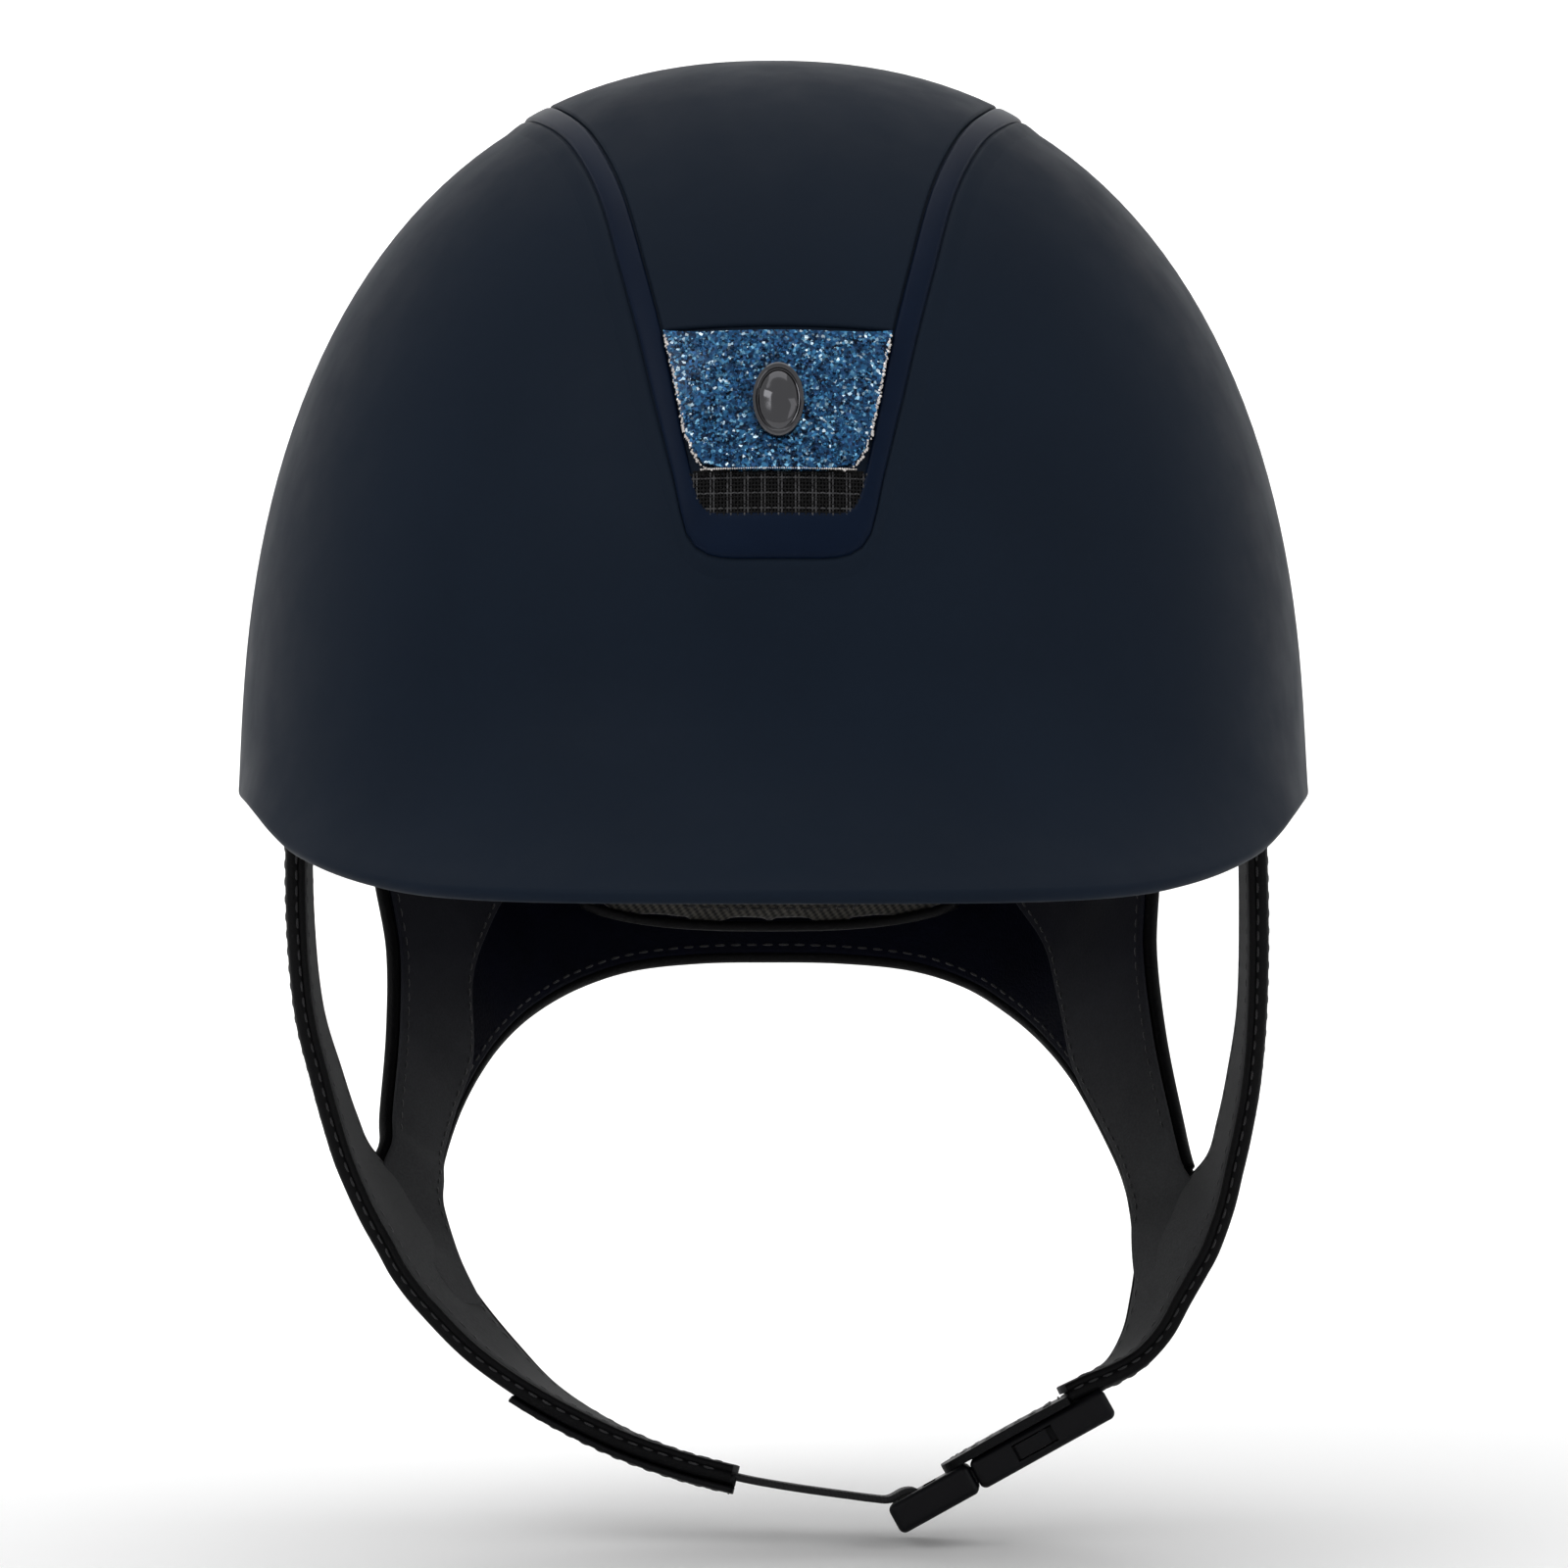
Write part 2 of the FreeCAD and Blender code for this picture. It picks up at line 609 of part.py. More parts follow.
def shift_grid(grid, distance):
    """The grid moved along its own outward direction."""
    rows = len(grid)
    columns = len(grid[0])
    moved = []
    for i in range(rows):
        row = []
        for j in range(columns):
            along = grid[min(i + 1, rows - 1)][j] - grid[max(i - 1, 0)][j]
            across = grid[i][min(j + 1, columns - 1)] - grid[i][max(j - 1, 0)]
            normal = along.cross(across)
            normal.normalize()
            away = grid[i][j] - HEAD_CENTRE
            if normal.dot(away) < 0:
                normal = normal * -1
            row.append(grid[i][j] + normal * distance)
        moved.append(row)
    return moved


def layer(stations, low, high, across=5):
    """Sheet between two distances outward of the stations' surface."""
    grid = spread(stations, across)
    return plate(shift_grid(grid, high), shift_grid(grid, low), from_net)


def between(stations, first):
    """The stations from a share of the length on, with one new start station."""
    at = first * (len(stations) - 1)
    index = int(at)
    share = at - index
    start = tuple(tuple(a + (b - a) * share for a, b in zip(stations[index][k], stations[index + 1][k]))
                  for k in range(2))
    return [start] + stations[index + 1:]


def build_harness():
    """Leather harness: straps, junctions and nape yoke, each with its lining."""
    half = LEATHER / 2
    skins = {"front_strap_right": FRONT_STRAP_RIGHT, "front_strap_left": FRONT_STRAP_LEFT,
             "junction_right": JUNCTION_RIGHT, "junction_left": JUNCTION_LEFT,
             "lower_strap_right": LOWER_RIGHT, "lower_strap_left": LOWER_LEFT}
    parts = {}
    for name, stations in skins.items():
        parts[name] = layer(stations, -LEATHER_SEAT, LEATHER - LEATHER_SEAT)
        parts[name + "_lining"] = layer(stations, -LINING_SEAT - LINING, -LINING_SEAT)
    for side, wearer in ((-1, "right"), (1, "left")):
        for name in ("front_strap_" + wearer, "front_strap_" + wearer + "_lining"):
            parts[name] = parts[name].cut(anchor_box(side, STRAP_SLOT_GROW))
    yoke = YOKE_RIGHT + [YOKE_BACK] + list(reversed(YOKE_LEFT))
    parts["nape_yoke"] = layer(yoke, YOKE_SHIFT - half, YOKE_SHIFT + half, 7)
    parts["nape_yoke_lining"] = layer(yoke, LINING_SEAT - half - LINING, LINING_SEAT - half, 7)
    sleeve = between(LOWER_RIGHT, SLEEVE_START)
    parts["adjusting_sleeve"] = layer(sleeve, LEATHER, LEATHER + SLEEVE)
    return parts


def build_webbing():
    """Free length of chin webbing between the sleeve and the clip."""
    stations = [((x, -WEBBING_HALF, z + WEBBING_DROP), (x, WEBBING_HALF, z - WEBBING_DROP))
                for x, z in WEBBING_PATH]
    return layer(stations, -WEBBING_THICK / 2, WEBBING_THICK / 2)


# ---- buckle --------------------------------------------------------------------

def to_buckle(shape):
    tilt = math.radians(BUCKLE_TILT)
    length = V(math.cos(tilt), 0, math.sin(tilt))
    roll = math.radians(BUCKLE_ROLL)
    flat = length.cross(V(0, 1, 0))
    width = V(0, math.cos(roll), 0) - flat * math.sin(roll)
    thick = length.cross(width)
    shape.Placement = placement(V(*BUCKLE_CENTRE), length, width, thick)
    return shape


def local_box(l0, l1, w0, w1, t0, t1):
    return Part.makeBox(l1 - l0, w1 - w0, t1 - t0, V(l0, w0, t0))


def build_male():
    """Clip half: ladder bars for the webbing and a guide tongue."""
    half = BUCKLE_WIDE / 2
    thick = BUCKLE_THICK / 2
    base = local_box(MALE_START, MALE_END, -half, half, -thick, thick)
    base = base.makeFillet(BUCKLE_ROUND, base.Edges)
    slot = SLOT_WIDE / 2
    cuts = [local_box(low, high, -slot, slot, -thick - 1, thick + 1) for low, high in MALE_SLOTS]
    room = PRONG_TALL / 2 + PRONG_ROOM_UP
    for side in (-1, 1):
        low, high = sorted((side * (PRONG_INNER - PRONG_ROOM), side * (PRONG_OUTER + PRONG_ROOM_OUT)))
        cuts.append(local_box(PRONG_START - ROOT_ROOM, MALE_END + 1, low, high, -room, room))
    tongue = local_box(MALE_END - 2, TONGUE_END, -TONGUE_WIDE / 2, TONGUE_WIDE / 2,
                       -TONGUE_HALF_THICK, TONGUE_HALF_THICK)
    return to_buckle(base.fuse(tongue).cut(cuts).removeSplitter())


def build_prong(side):
    """Springy arm with a barb that catches in the side window."""
    low, high = sorted((side * PRONG_INNER, side * PRONG_OUTER))
    arm = local_box(PRONG_START, PRONG_END, low, high, -PRONG_TALL / 2, PRONG_TALL / 2)
    low, high = sorted((side * (PRONG_INNER + 1), side * BARB_OUTER))
    barb = local_box(BARB_START, PRONG_END - 2, low, high, -PRONG_TALL / 2, PRONG_TALL / 2)
    root = Part.makeCylinder(PRONG_ROOT, PRONG_TALL, V(PRONG_START, side * PRONG_HINGE, -PRONG_TALL / 2))
    return to_buckle(arm.fuse([barb, root]).removeSplitter())


def build_female():
    """Socket half, with side windows and a slot for its strap loop."""
    half = BUCKLE_WIDE / 2
    thick = BUCKLE_THICK / 2
    body = local_box(FEMALE_START, FEMALE_END, -half, half, -thick, thick)
    body = body.makeFillet(BUCKLE_ROUND, body.Edges)
    cavity = local_box(FEMALE_START - 1, CAVITY_END, -CAVITY_WIDE / 2, CAVITY_WIDE / 2,
                       -CAVITY_TALL / 2, CAVITY_TALL / 2)
    windows = local_box(WINDOW_START, WINDOW_END, -half - 1, half + 1,
                        -CAVITY_TALL / 2, CAVITY_TALL / 2)
    slot = local_box(*FEMALE_SLOT, -SLOT_WIDE / 2, SLOT_WIDE / 2, -thick - 1, thick + 1)
    return to_buckle(body.cut([cavity, windows, slot]).removeSplitter())


def build_loop():
    """Webbing that ties the socket's bar to the end of the left strap."""
    stations = []
    for along, up in LOOP_PATH:
        stations.append(((along, -LOOP_HALF_WIDE, up), (along, LOOP_HALF_WIDE, up)))
    grid = spread(stations, 4)
    top = []
    low = []
    for i, row in enumerate(grid):
        ahead = grid[min(i + 1, len(grid) - 1)][0] - grid[max(i - 1, 0)][0]
        normal = ahead.cross(V(0, 1, 0))
        normal.normalize()
        top.append([p + normal * LOOP_HALF_THICK for p in row])
        low.append([p - normal * LOOP_HALF_THICK for p in row])
    return to_buckle(plate(top, low, from_net))


def build_flap():
    """Chin guard flap that lies over the skin side of the buckle."""
    half = FLAP_WIDE / 2
    block = local_box(FLAP_START, FLAP_END, -half, half, FLAP_BOTTOM, FLAP_BOTTOM + FLAP_THICK)
    corners = []
    for edge in block.Edges:
        box = edge.BoundBox
        if box.ZLength > FLAP_THICK * 0.9 and box.XLength < 0.1 and box.XMin < FLAP_START + 1:
            corners.append(edge)
    return to_buckle(block.makeFillet(FLAP_ROUND, corners))


# ---- badge and top -------------------------------------------------------------

def strip_frame(angle):
    """Point on the dome's centre line with its outward and upward directions."""
    here = strip_point(angle, 0, 0)
    outward = strip_point(angle, 0, 1.0) - here
    up = V(1, 0, 0).cross(outward)
    if up.z < 0:
        up = up * -1
    return here, outward, up


def build_badge():
    """Plain oval metal stud on the frontal band."""
    here, outward, up = strip_frame(BADGE_ANGLE)
    base = here + outward * (SKIN_GAP + BAND_PROUD + BADGE_LIFT)
    disc = Part.makeCylinder(1.0, BADGE_THICK)
    matrix = FreeCAD.Matrix()
    matrix.scale(BADGE_WIDE / 2, BADGE_TALL / 2, 1.0)
    disc = disc.transformGeometry(matrix)
    disc.Placement = placement(base, V(1, 0, 0), up, outward)
    return disc


def build_badge_pin():
    here, outward, up = strip_frame(BADGE_ANGLE)
    start = here + outward * (SKIN_GAP + BAND_PROUD + PIN_LIFT)
    return Part.makeCylinder(PIN_RADIUS, PIN_LENGTH, start, outward * -1)


def build_top():
    """Everything fixed on the outside of the dome along its middle."""
    low = SKIN_GAP
    parts = {}
    parts["top_panel"] = strip_plate(
        PANEL_REAR + PANEL_GAP, PANEL_FRONT, lambda a: -rail_inner(a) + JOINT_GAP,
        lambda a: rail_inner(a) - JOINT_GAP, low, low + PANEL_PROUD, 30, 15)
    for side, name in ((-1, "rail_right"), (1, "rail_left")):
        parts[name] = strip_plate(
            OUTLET_BOTTOM, MESH_BOTTOM + RAIL_END, lambda a, s=side: s * rail_inner(a),
            lambda a, s=side: s * rail_outer(a), low, low + RAIL_PROUD, 44, 4)
    parts["front_cap"] = strip_plate(
        MESH_BOTTOM + RAIL_END + JOINT_GAP, CAP_BOTTOM, lambda a: -cap_half(a),
        cap_half, low, low + RAIL_PROUD, 6, 7)
    parts["rear_cap"] = strip_plate(
        REAR_CAP_BOTTOM, OUTLET_BOTTOM - 0.2, lambda a: -rail_outer(a),
        rail_outer, low, low + RAIL_PROUD, 6, 7)
    band = strip_plate(
        BAND_TOP, BAND_BOTTOM, lambda a: -rail_inner(a) + JOINT_GAP,
        lambda a: rail_inner(a) - JOINT_GAP, low, low + BAND_PROUD, 8, 9)
    here, outward, up = strip_frame(BADGE_ANGLE)
    hole = Part.makeCylinder(PIN_RADIUS + PIN_FIT, HOLE_DEEP, here - outward * HOLE_DEEP / 2, outward)
    parts["frontal_band"] = band.cut(hole)
    parts["inlet_mesh"] = strip_plate(
        BAND_BOTTOM + JOINT_GAP, MESH_BOTTOM + RAIL_END, lambda a: -rail_inner(a) + JOINT_GAP,
        lambda a: rail_inner(a) - JOINT_GAP, low, low + MESH_PROUD, 5, 9)
    parts["outlet_grille"] = strip_plate(
        OUTLET_BOTTOM, PANEL_REAR + 0.4, lambda a: -rail_inner(a) + JOINT_GAP,
        lambda a: rail_inner(a) - JOINT_GAP, low, low + MESH_PROUD, 8, 9)
    return parts


def cap_half(angle):
    share = (angle - MESH_BOTTOM) / (CAP_BOTTOM - MESH_BOTTOM)
    return CAP_HALF - CAP_NARROWING * share ** 2


def main():
    os.makedirs("parts", exist_ok=True)
    parts = {"outer_shell": build_shell(), "foam_liner": build_foam()}
    parts.update(build_top())
    parts["badge"] = build_badge()
    parts["badge_pin"] = build_badge_pin()
    parts["peak_lining"] = build_peak_lining()
    parts["rim_binding"] = build_rim_binding()
    parts["brow_pad"] = pad(BROW_PAD, SIDE_PAD_OUT, SIDE_PAD_IN)
    parts["side_pad_right"] = pad(RIGHT_PAD, SIDE_PAD_OUT, SIDE_PAD_IN)
    parts["side_pad_left"] = pad(LEFT_PAD, SIDE_PAD_OUT, SIDE_PAD_IN)
    parts["nape_pad"] = pad(NAPE_PAD, PAD_OUT, PAD_IN)
    parts["crown_pad"] = build_crown_pad()
    for side, name in ((-1, "strap_anchor_right"), (1, "strap_anchor_left")):
        parts[name] = anchor_box(side, 0.0)
    parts.update(build_harness())
    parts["chin_webbing"] = build_webbing()
    parts["clip_base"] = build_male()
    parts["prong_front"] = build_prong(-1)
    parts["prong_rear"] = build_prong(1)
    parts["clip_socket"] = build_female()
    parts["socket_loop"] = build_loop()
    parts["chin_guard"] = build_flap()
    for name, shape in parts.items():
        shape.exportStep("parts/" + name + ".step")


main()
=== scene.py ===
import math
import random

import bpy
import bmesh
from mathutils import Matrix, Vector


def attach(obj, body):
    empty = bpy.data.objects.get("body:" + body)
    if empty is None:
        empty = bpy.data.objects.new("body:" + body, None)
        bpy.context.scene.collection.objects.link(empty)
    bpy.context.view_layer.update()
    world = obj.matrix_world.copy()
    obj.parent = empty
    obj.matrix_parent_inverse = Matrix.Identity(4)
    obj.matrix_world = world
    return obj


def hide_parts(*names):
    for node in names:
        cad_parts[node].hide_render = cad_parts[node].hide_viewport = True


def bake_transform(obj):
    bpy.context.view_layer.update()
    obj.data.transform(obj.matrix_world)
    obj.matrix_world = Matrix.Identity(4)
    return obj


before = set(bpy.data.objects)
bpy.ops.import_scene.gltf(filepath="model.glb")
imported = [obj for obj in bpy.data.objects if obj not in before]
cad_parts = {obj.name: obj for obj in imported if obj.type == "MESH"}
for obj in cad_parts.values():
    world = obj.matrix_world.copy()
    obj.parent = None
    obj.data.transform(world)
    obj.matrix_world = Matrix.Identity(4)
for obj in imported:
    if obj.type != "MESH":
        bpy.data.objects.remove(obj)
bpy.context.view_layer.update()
MM = 0.001  # one millimetre, the unit of every length below, in metres

# ------------------------------------------------------------------ dome shape
# The rim is (degrees from the front, height); the rails are (degrees forward of the top, half width).
HALF_WIDTH, HEIGHT, FRONT, REAR, PEAK = 107.2, 148.5, 125.0, 130.0, 158.0
PROFILE, PLAN = 2.3, 2.15
FLARE_TOP, FLARE_POWER, TUCK, WALL = 28.0, 2.2, 5.0, 3.0
RIM = [(0, -14.4), (20, -14.3), (30, -12.9), (45, -7.4), (52, -3.6), (58, -0.6),
       (65, 1.6), (75, 2.6), (90, 2.6), (110, -0.5), (135, -8.0), (160, -15.0), (180, -17.0)]
RAIL_OUTER = [(-92, 17.0), (-80, 22.0), (-60, 31.0), (-35, 42.0), (-10, 49.5), (6, 49.8),
              (18, 46.2), (30, 39.2), (40, 33.6), (50, 29.2), (58, 25.4), (65, 22.2),
              (71, 19.0), (76, 16.8)]
RAIL_INNER = [(-92, 12.0), (-80, 17.0), (-60, 26.0), (-35, 37.0), (-10, 44.5), (6, 45.0),
              (18, 41.8), (30, 35.0), (40, 29.4), (50, 24.9), (58, 21.2), (65, 18.4),
              (71, 15.8), (76, 13.0)]
STRIP_Z = 20.0
PANEL_FRONT, BAND_TOP, BAND_BOTTOM = 57.6, 58.0, 70.7
MESH_BOTTOM, CAP_BOTTOM = 74.3, 78.3
PANEL_REAR, OUTLET_BOTTOM, REAR_BOTTOM = -64.0, -84.0, -92.0


def table_value(table, at):
    if at <= table[0][0]:
        return table[0][1]
    if at >= table[-1][0]:
        return table[-1][1]
    i = 0
    while table[i + 1][0] < at:
        i += 1
    x0, y0 = table[i]
    x1, y1 = table[i + 1]
    xb, yb = table[max(i - 1, 0)]
    xa, ya = table[min(i + 2, len(table) - 1)]
    s0 = (y1 - yb) / (x1 - xb)
    s1 = (ya - y0) / (xa - x0)
    w = x1 - x0
    t = (at - x0) / w
    return ((2 * t ** 3 - 3 * t ** 2 + 1) * y0 + (t ** 3 - 2 * t ** 2 + t) * w * s0
            + (3 * t ** 2 - 2 * t ** 3) * y1 + (t ** 3 - t ** 2) * w * s1)


def plan_radius(phi, ahead):
    c, s = math.cos(math.radians(phi)), math.sin(math.radians(phi))
    along = ahead if c > 0 else REAR
    return ((abs(s) / HALF_WIDTH) ** PLAN + (abs(c) / along) ** PLAN) ** (-1 / PLAN)


def rim_height(phi):
    return table_value(RIM, abs((phi + 180) % 360 - 180))


def dome_point(phi, z, flared=True):
    base = plan_radius(phi, FRONT)
    c = math.cos(math.radians(phi))
    radius = base * max(1 - (max(z, 0.0) / HEIGHT) ** PROFILE, 0.0) ** (1 / PROFILE)
    if z < 0 and c < 0:
        radius -= TUCK * min(z / RIM[-1][1], 1.3) ** 2 * abs(c)
    if flared and z < FLARE_TOP:
        share = (FLARE_TOP - z) / (FLARE_TOP - rim_height(phi))
        radius += (plan_radius(phi, PEAK) - base) * share ** FLARE_POWER
    return Vector((radius * math.sin(math.radians(phi)), -radius * c, z))


def dome_normal(phi, z, flared=True):
    top = min(z + 0.05, HEIGHT - 0.001)
    up = dome_point(phi, top, flared) - dome_point(phi, top - 0.1, flared)
    across = dome_point(phi + 0.3, z, flared) - dome_point(phi - 0.3, z, flared)
    n = across.cross(up).normalized()
    return n if n.dot(dome_point(phi, z, flared)) > 0 else -n


def inside(phi, z, depth, flared=False):
    return dome_point(phi, z, flared) - dome_normal(phi, z, flared) * depth


def level(p):
    along = FRONT if p.y < 0 else REAR
    plan = (abs(p.x) / HALF_WIDTH) ** PLAN + (abs(p.y) / along) ** PLAN
    return plan ** (PROFILE / PLAN) + (max(p.z, 0.0) / HEIGHT) ** PROFILE - 1


def strip_point(angle, x, proud=0.0):
    a = math.radians(angle)
    near, far = 0.0, 200.0
    for _ in range(36):
        mid = (near + far) / 2
        if level(Vector((x, -mid * math.sin(a), STRIP_Z + mid * math.cos(a)))) < 0:
            near = mid
        else:
            far = mid
    p = Vector((x, -near * math.sin(a), STRIP_Z + near * math.cos(a)))
    h = 0.01
    n = Vector((level(p + Vector((h, 0, 0))) - level(p - Vector((h, 0, 0))),
                level(p + Vector((0, h, 0))) - level(p - Vector((0, h, 0))),
                level(p + Vector((0, 0, h))) - level(p - Vector((0, 0, h))))).normalized()
    return p + n * proud


# ------------------------------------------------------------------ mesh tools
def new_object(name, shape, material, body, smooth_angle=35.0):
    """Object from vertices in millimetres and faces, riding a body where one is named."""
    verts, faces = shape
    mesh = bpy.data.meshes.new(name)
    mesh.from_pydata([tuple(v * MM) for v in verts], [], faces)
    bm = bmesh.new()
    bm.from_mesh(mesh)
    bmesh.ops.remove_doubles(bm, verts=bm.verts, dist=1e-6)
    bmesh.ops.recalc_face_normals(bm, faces=bm.faces)
    bm.to_mesh(mesh)
    bm.free()
    obj = bpy.data.objects.new(name, mesh)
    bpy.context.scene.collection.objects.link(obj)
    mesh.materials.append(material)
    mesh.shade_smooth()
    mesh.set_sharp_from_angle(angle=math.radians(smooth_angle))
    if body:
        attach(obj, body)
    return obj


def add_bevel(obj, width, segments=3, angle=40.0):
    bevel = obj.modifiers.new("edge", "BEVEL")
    bevel.width = width * MM
    bevel.segments = segments
    bevel.limit_method = "ANGLE"
    bevel.angle_limit = math.radians(angle)
    bevel.harden_normals = True


def closed_plate(top, low):
    """Vertices and faces of a closed plate between two grids."""
    rows, cols = len(top), len(top[0])
    verts = [p for row in top for p in row] + [p for row in low for p in row]
    shift = rows * cols
    faces = []
    for i in range(rows - 1):
        for j in range(cols - 1):
            a, b = i * cols + j, (i + 1) * cols + j
            faces.append((a, a + 1, b + 1, b))
            faces.append((a + shift, b + shift, b + 1 + shift, a + 1 + shift))
    edge = ([(i, 0) for i in range(rows)] + [(rows - 1, j) for j in range(1, cols)]
            + [(i, cols - 1) for i in range(rows - 2, -1, -1)]
            + [(0, j) for j in range(cols - 2, 0, -1)])
    for k in range(len(edge)):
        a = edge[k][0] * cols + edge[k][1]
        b = edge[(k + 1) % len(edge)][0] * cols + edge[(k + 1) % len(edge)][1]
        faces.append((a, b, b + shift, a + shift))
    return verts, faces


def closed_skin(start, rings, end):
    """Vertices and faces of a closed skin over rings between two poles."""
    n = len(rings[0])
    verts = [start] + [p for r in rings for p in r] + [end]
    faces = []
    for i in range(n):
        j = (i + 1) % n
        faces.append((0, 1 + j, 1 + i))
        last = 1 + (len(rings) - 1) * n
        faces.append((last + i, last + j, len(verts) - 1))
        for k in range(len(rings) - 1):
            a, b = 1 + k * n, 1 + (k + 1) * n
            faces.append((a + i, a + j, b + j, b + i))
    return verts, faces


def between(p0, p1, p2, p3, t):
    """Point on a smooth curve from p1 to p2, with its neighbours p0 and p3."""
    return 0.5 * ((2 * p1) + (p2 - p0) * t + (2 * p0 - 5 * p1 + 4 * p2 - p3) * t * t
                  + (3 * p1 - p0 - 3 * p2 + p3) * t ** 3)


def refined(points, steps):
    """The smooth curve through some points, with more points between them."""
    last = len(points) - 1
    dense = []
    for i in range(last):
        near = points[max(i - 1, 0)], points[i], points[i + 1], points[min(i + 2, last)]
        dense += [between(*near, k / steps) for k in range(steps)]
    return dense + [points[-1]]


def lengths_along(points):
    run = [0.0]
    for a, b in zip(points, points[1:]):
        run.append(run[-1] + (b - a).length)
    return run


def place_at(run, k, want):
    """The stretch that holds a length, from stretch k onwards, and the share along it."""
    while k < len(run) - 2 and run[k + 1] < want:
        k += 1
    return k, min(max((want - run[k]) / max(run[k + 1] - run[k], 1e-9), 0), 1)


def smooth_path(points, count):
    """Points spread evenly along a smooth curve through the given ones."""
    dense = refined(points, 24)
    run = lengths_along(dense)
    out, k = [], 0
    for i in range(count):
        k, share = place_at(run, k, run[-1] * i / (count - 1))
        out.append(dense[k].lerp(dense[k + 1], share))
    return out


def smooth_stations(stations, count):
    """Front and rear edge points of a strap, spread evenly along it."""
    front, rear = [refined([Vector(pair[side]) for pair in stations], 16) for side in (0, 1)]
    run = lengths_along([(a + b) * 0.5 for a, b in zip(front, rear)])
    out, k = [], 0
    for i in range(count):
        k, share = place_at(run, k, run[-1] * i / (count - 1))
        out.append((front[k].lerp(front[k + 1], share), rear[k].lerp(rear[k + 1], share)))
    return out


HEAD = Vector((0, 0, -40))


def strap_frame(line, i):
    """Middle, width direction, outward normal, width and run direction of a strap at a station."""
    a, b = line[i]
    before = line[max(i - 1, 0)]
    after = line[min(i + 1, len(line) - 1)]
    along = (after[0] + after[1]) - (before[0] + before[1])
    across = (b - a).normalized()
    n = along.cross(across).normalized()
    mid = (a + b) * 0.5
    if n.dot(mid - HEAD) < 0:
        n = -n
    return mid, across, n, (b - a).length, along.normalized()


def strap_mesh(line, low, high, inset=0.0, crown=0.0, flat_points=9):
    """Closed strap with round edges; the crown swells its outer face."""
    radius = (high - low) / 2
    rings = []
    for i in range(len(line)):
        mid, across, n, width, _ = strap_frame(line, i)
        half = width / 2 - inset
        ring = []
        for k in range(flat_points):
            u = -1 + 2 * k / (flat_points - 1)
            swell = crown * (1 - u ** 4)
            ring.append(mid + across * (half - radius) * u + n * (high + swell))
        for k in range(1, 6):
            a = math.pi / 2 - math.pi * k / 6
            ring.append(mid + across * (half - radius + radius * math.cos(a))
                        + n * ((low + high) / 2 + radius * math.sin(a)))
        for k in range(flat_points):
            u = 1 - 2 * k / (flat_points - 1)
            ring.append(mid + across * (half - radius) * u + n * low)
        for k in range(1, 6):
            a = -math.pi / 2 - math.pi * k / 6
            ring.append(mid + across * (-(half - radius) + radius * math.cos(a))
                        + n * ((low + high) / 2 + radius * math.sin(a)))
        rings.append(ring)

    def shrunk(ring, share, step):
        middle = sum(ring, Vector()) / len(ring)
        return [middle + (p - middle) * share + step for p in ring]
    d0, d1 = strap_frame(line, 0)[4], strap_frame(line, len(line) - 1)[4]
    first = shrunk(rings[0], 0.9, Vector())
    last = shrunk(rings[-1], 0.9, Vector())
    rings[0] = [p + d0 * radius * 0.5 for p in rings[0]]
    rings[-1] = [p - d1 * radius * 0.5 for p in rings[-1]]
    rings = [first] + rings + [last]
    start = sum(first, Vector()) / len(first)
    end = sum(last, Vector()) / len(last)
    return closed_skin(start, rings, end)


def hoop(rings):
    """Vertices and faces of a closed hoop of closed sections."""
    n, m = len(rings), len(rings[0])
    faces = []
    for i in range(n):
        for k in range(m):
            a, b = i * m, ((i + 1) % n) * m
            faces.append((a + k, a + (k + 1) % m, b + (k + 1) % m, b + k))
    return [p for r in rings for p in r], faces


def tube_mesh(path, radius, sides=10, closed=False):
    """Round tube along points, its section turned as little as it can be."""
    n = len(path)
    rings = []
    side = None
    for i in range(n):
        if closed:
            along = (path[(i + 1) % n] - path[i - 1]).normalized()
        else:
            along = (path[min(i + 1, n - 1)] - path[max(i - 1, 0)]).normalized()
        if side is None:
            side = along.orthogonal().normalized()
        side = (side - along * side.dot(along)).normalized()
        up = along.cross(side)
        r = radius(i / (n - 1)) if callable(radius) else radius
        rings.append([path[i] + (side * math.cos(2 * math.pi * k / sides)
                                 + up * math.sin(2 * math.pi * k / sides)) * r for k in range(sides)])
    return hoop(rings) if closed else closed_skin(path[0], rings, path[-1])


def merge(parts):
    verts, faces = [], []
    for v, f in parts:
        shift = len(verts)
        verts += v
        faces += [tuple(i + shift for i in face) for face in f]
    return verts, faces


def stitch_run(path, normals, length=2.6, gap=0.9, radius=0.33, lift=0.12):
    """A row of separate thread stitches along a path."""
    run = lengths_along(path)
    parts = []
    at = gap
    while at + length < run[-1]:
        k, share = place_at(run, 0, at + length / 2)
        centre = path[k].lerp(path[k + 1], share)
        n = normals[k].lerp(normals[k + 1], share).normalized()
        k, share = place_at(run, k, at)
        first = path[k].lerp(path[k + 1], share)
        k, share = place_at(run, 0, at + length)
        last = path[k].lerp(path[k + 1], share)
        along = (last - first).normalized()
        side = n.cross(along).normalized()
        rings = []
        for t in (-0.5, -0.38, -0.15, 0.15, 0.38, 0.5):
            sink = -radius * 1.3 * (abs(t) * 2) ** 4
            r = radius * (1 - 0.35 * (abs(t) * 2) ** 3)
            middle = centre + along * t * length + n * (lift + sink)
            rings.append([middle + side * math.cos(a) * r + n * math.sin(a) * r
                          for a in (2 * math.pi * q / 6 for q in range(6))])
        parts.append(closed_skin(rings[0][0].lerp(rings[0][3], 0.5), rings,
                                 rings[-1][0].lerp(rings[-1][3], 0.5)))
        at += length + gap
    return merge(parts)


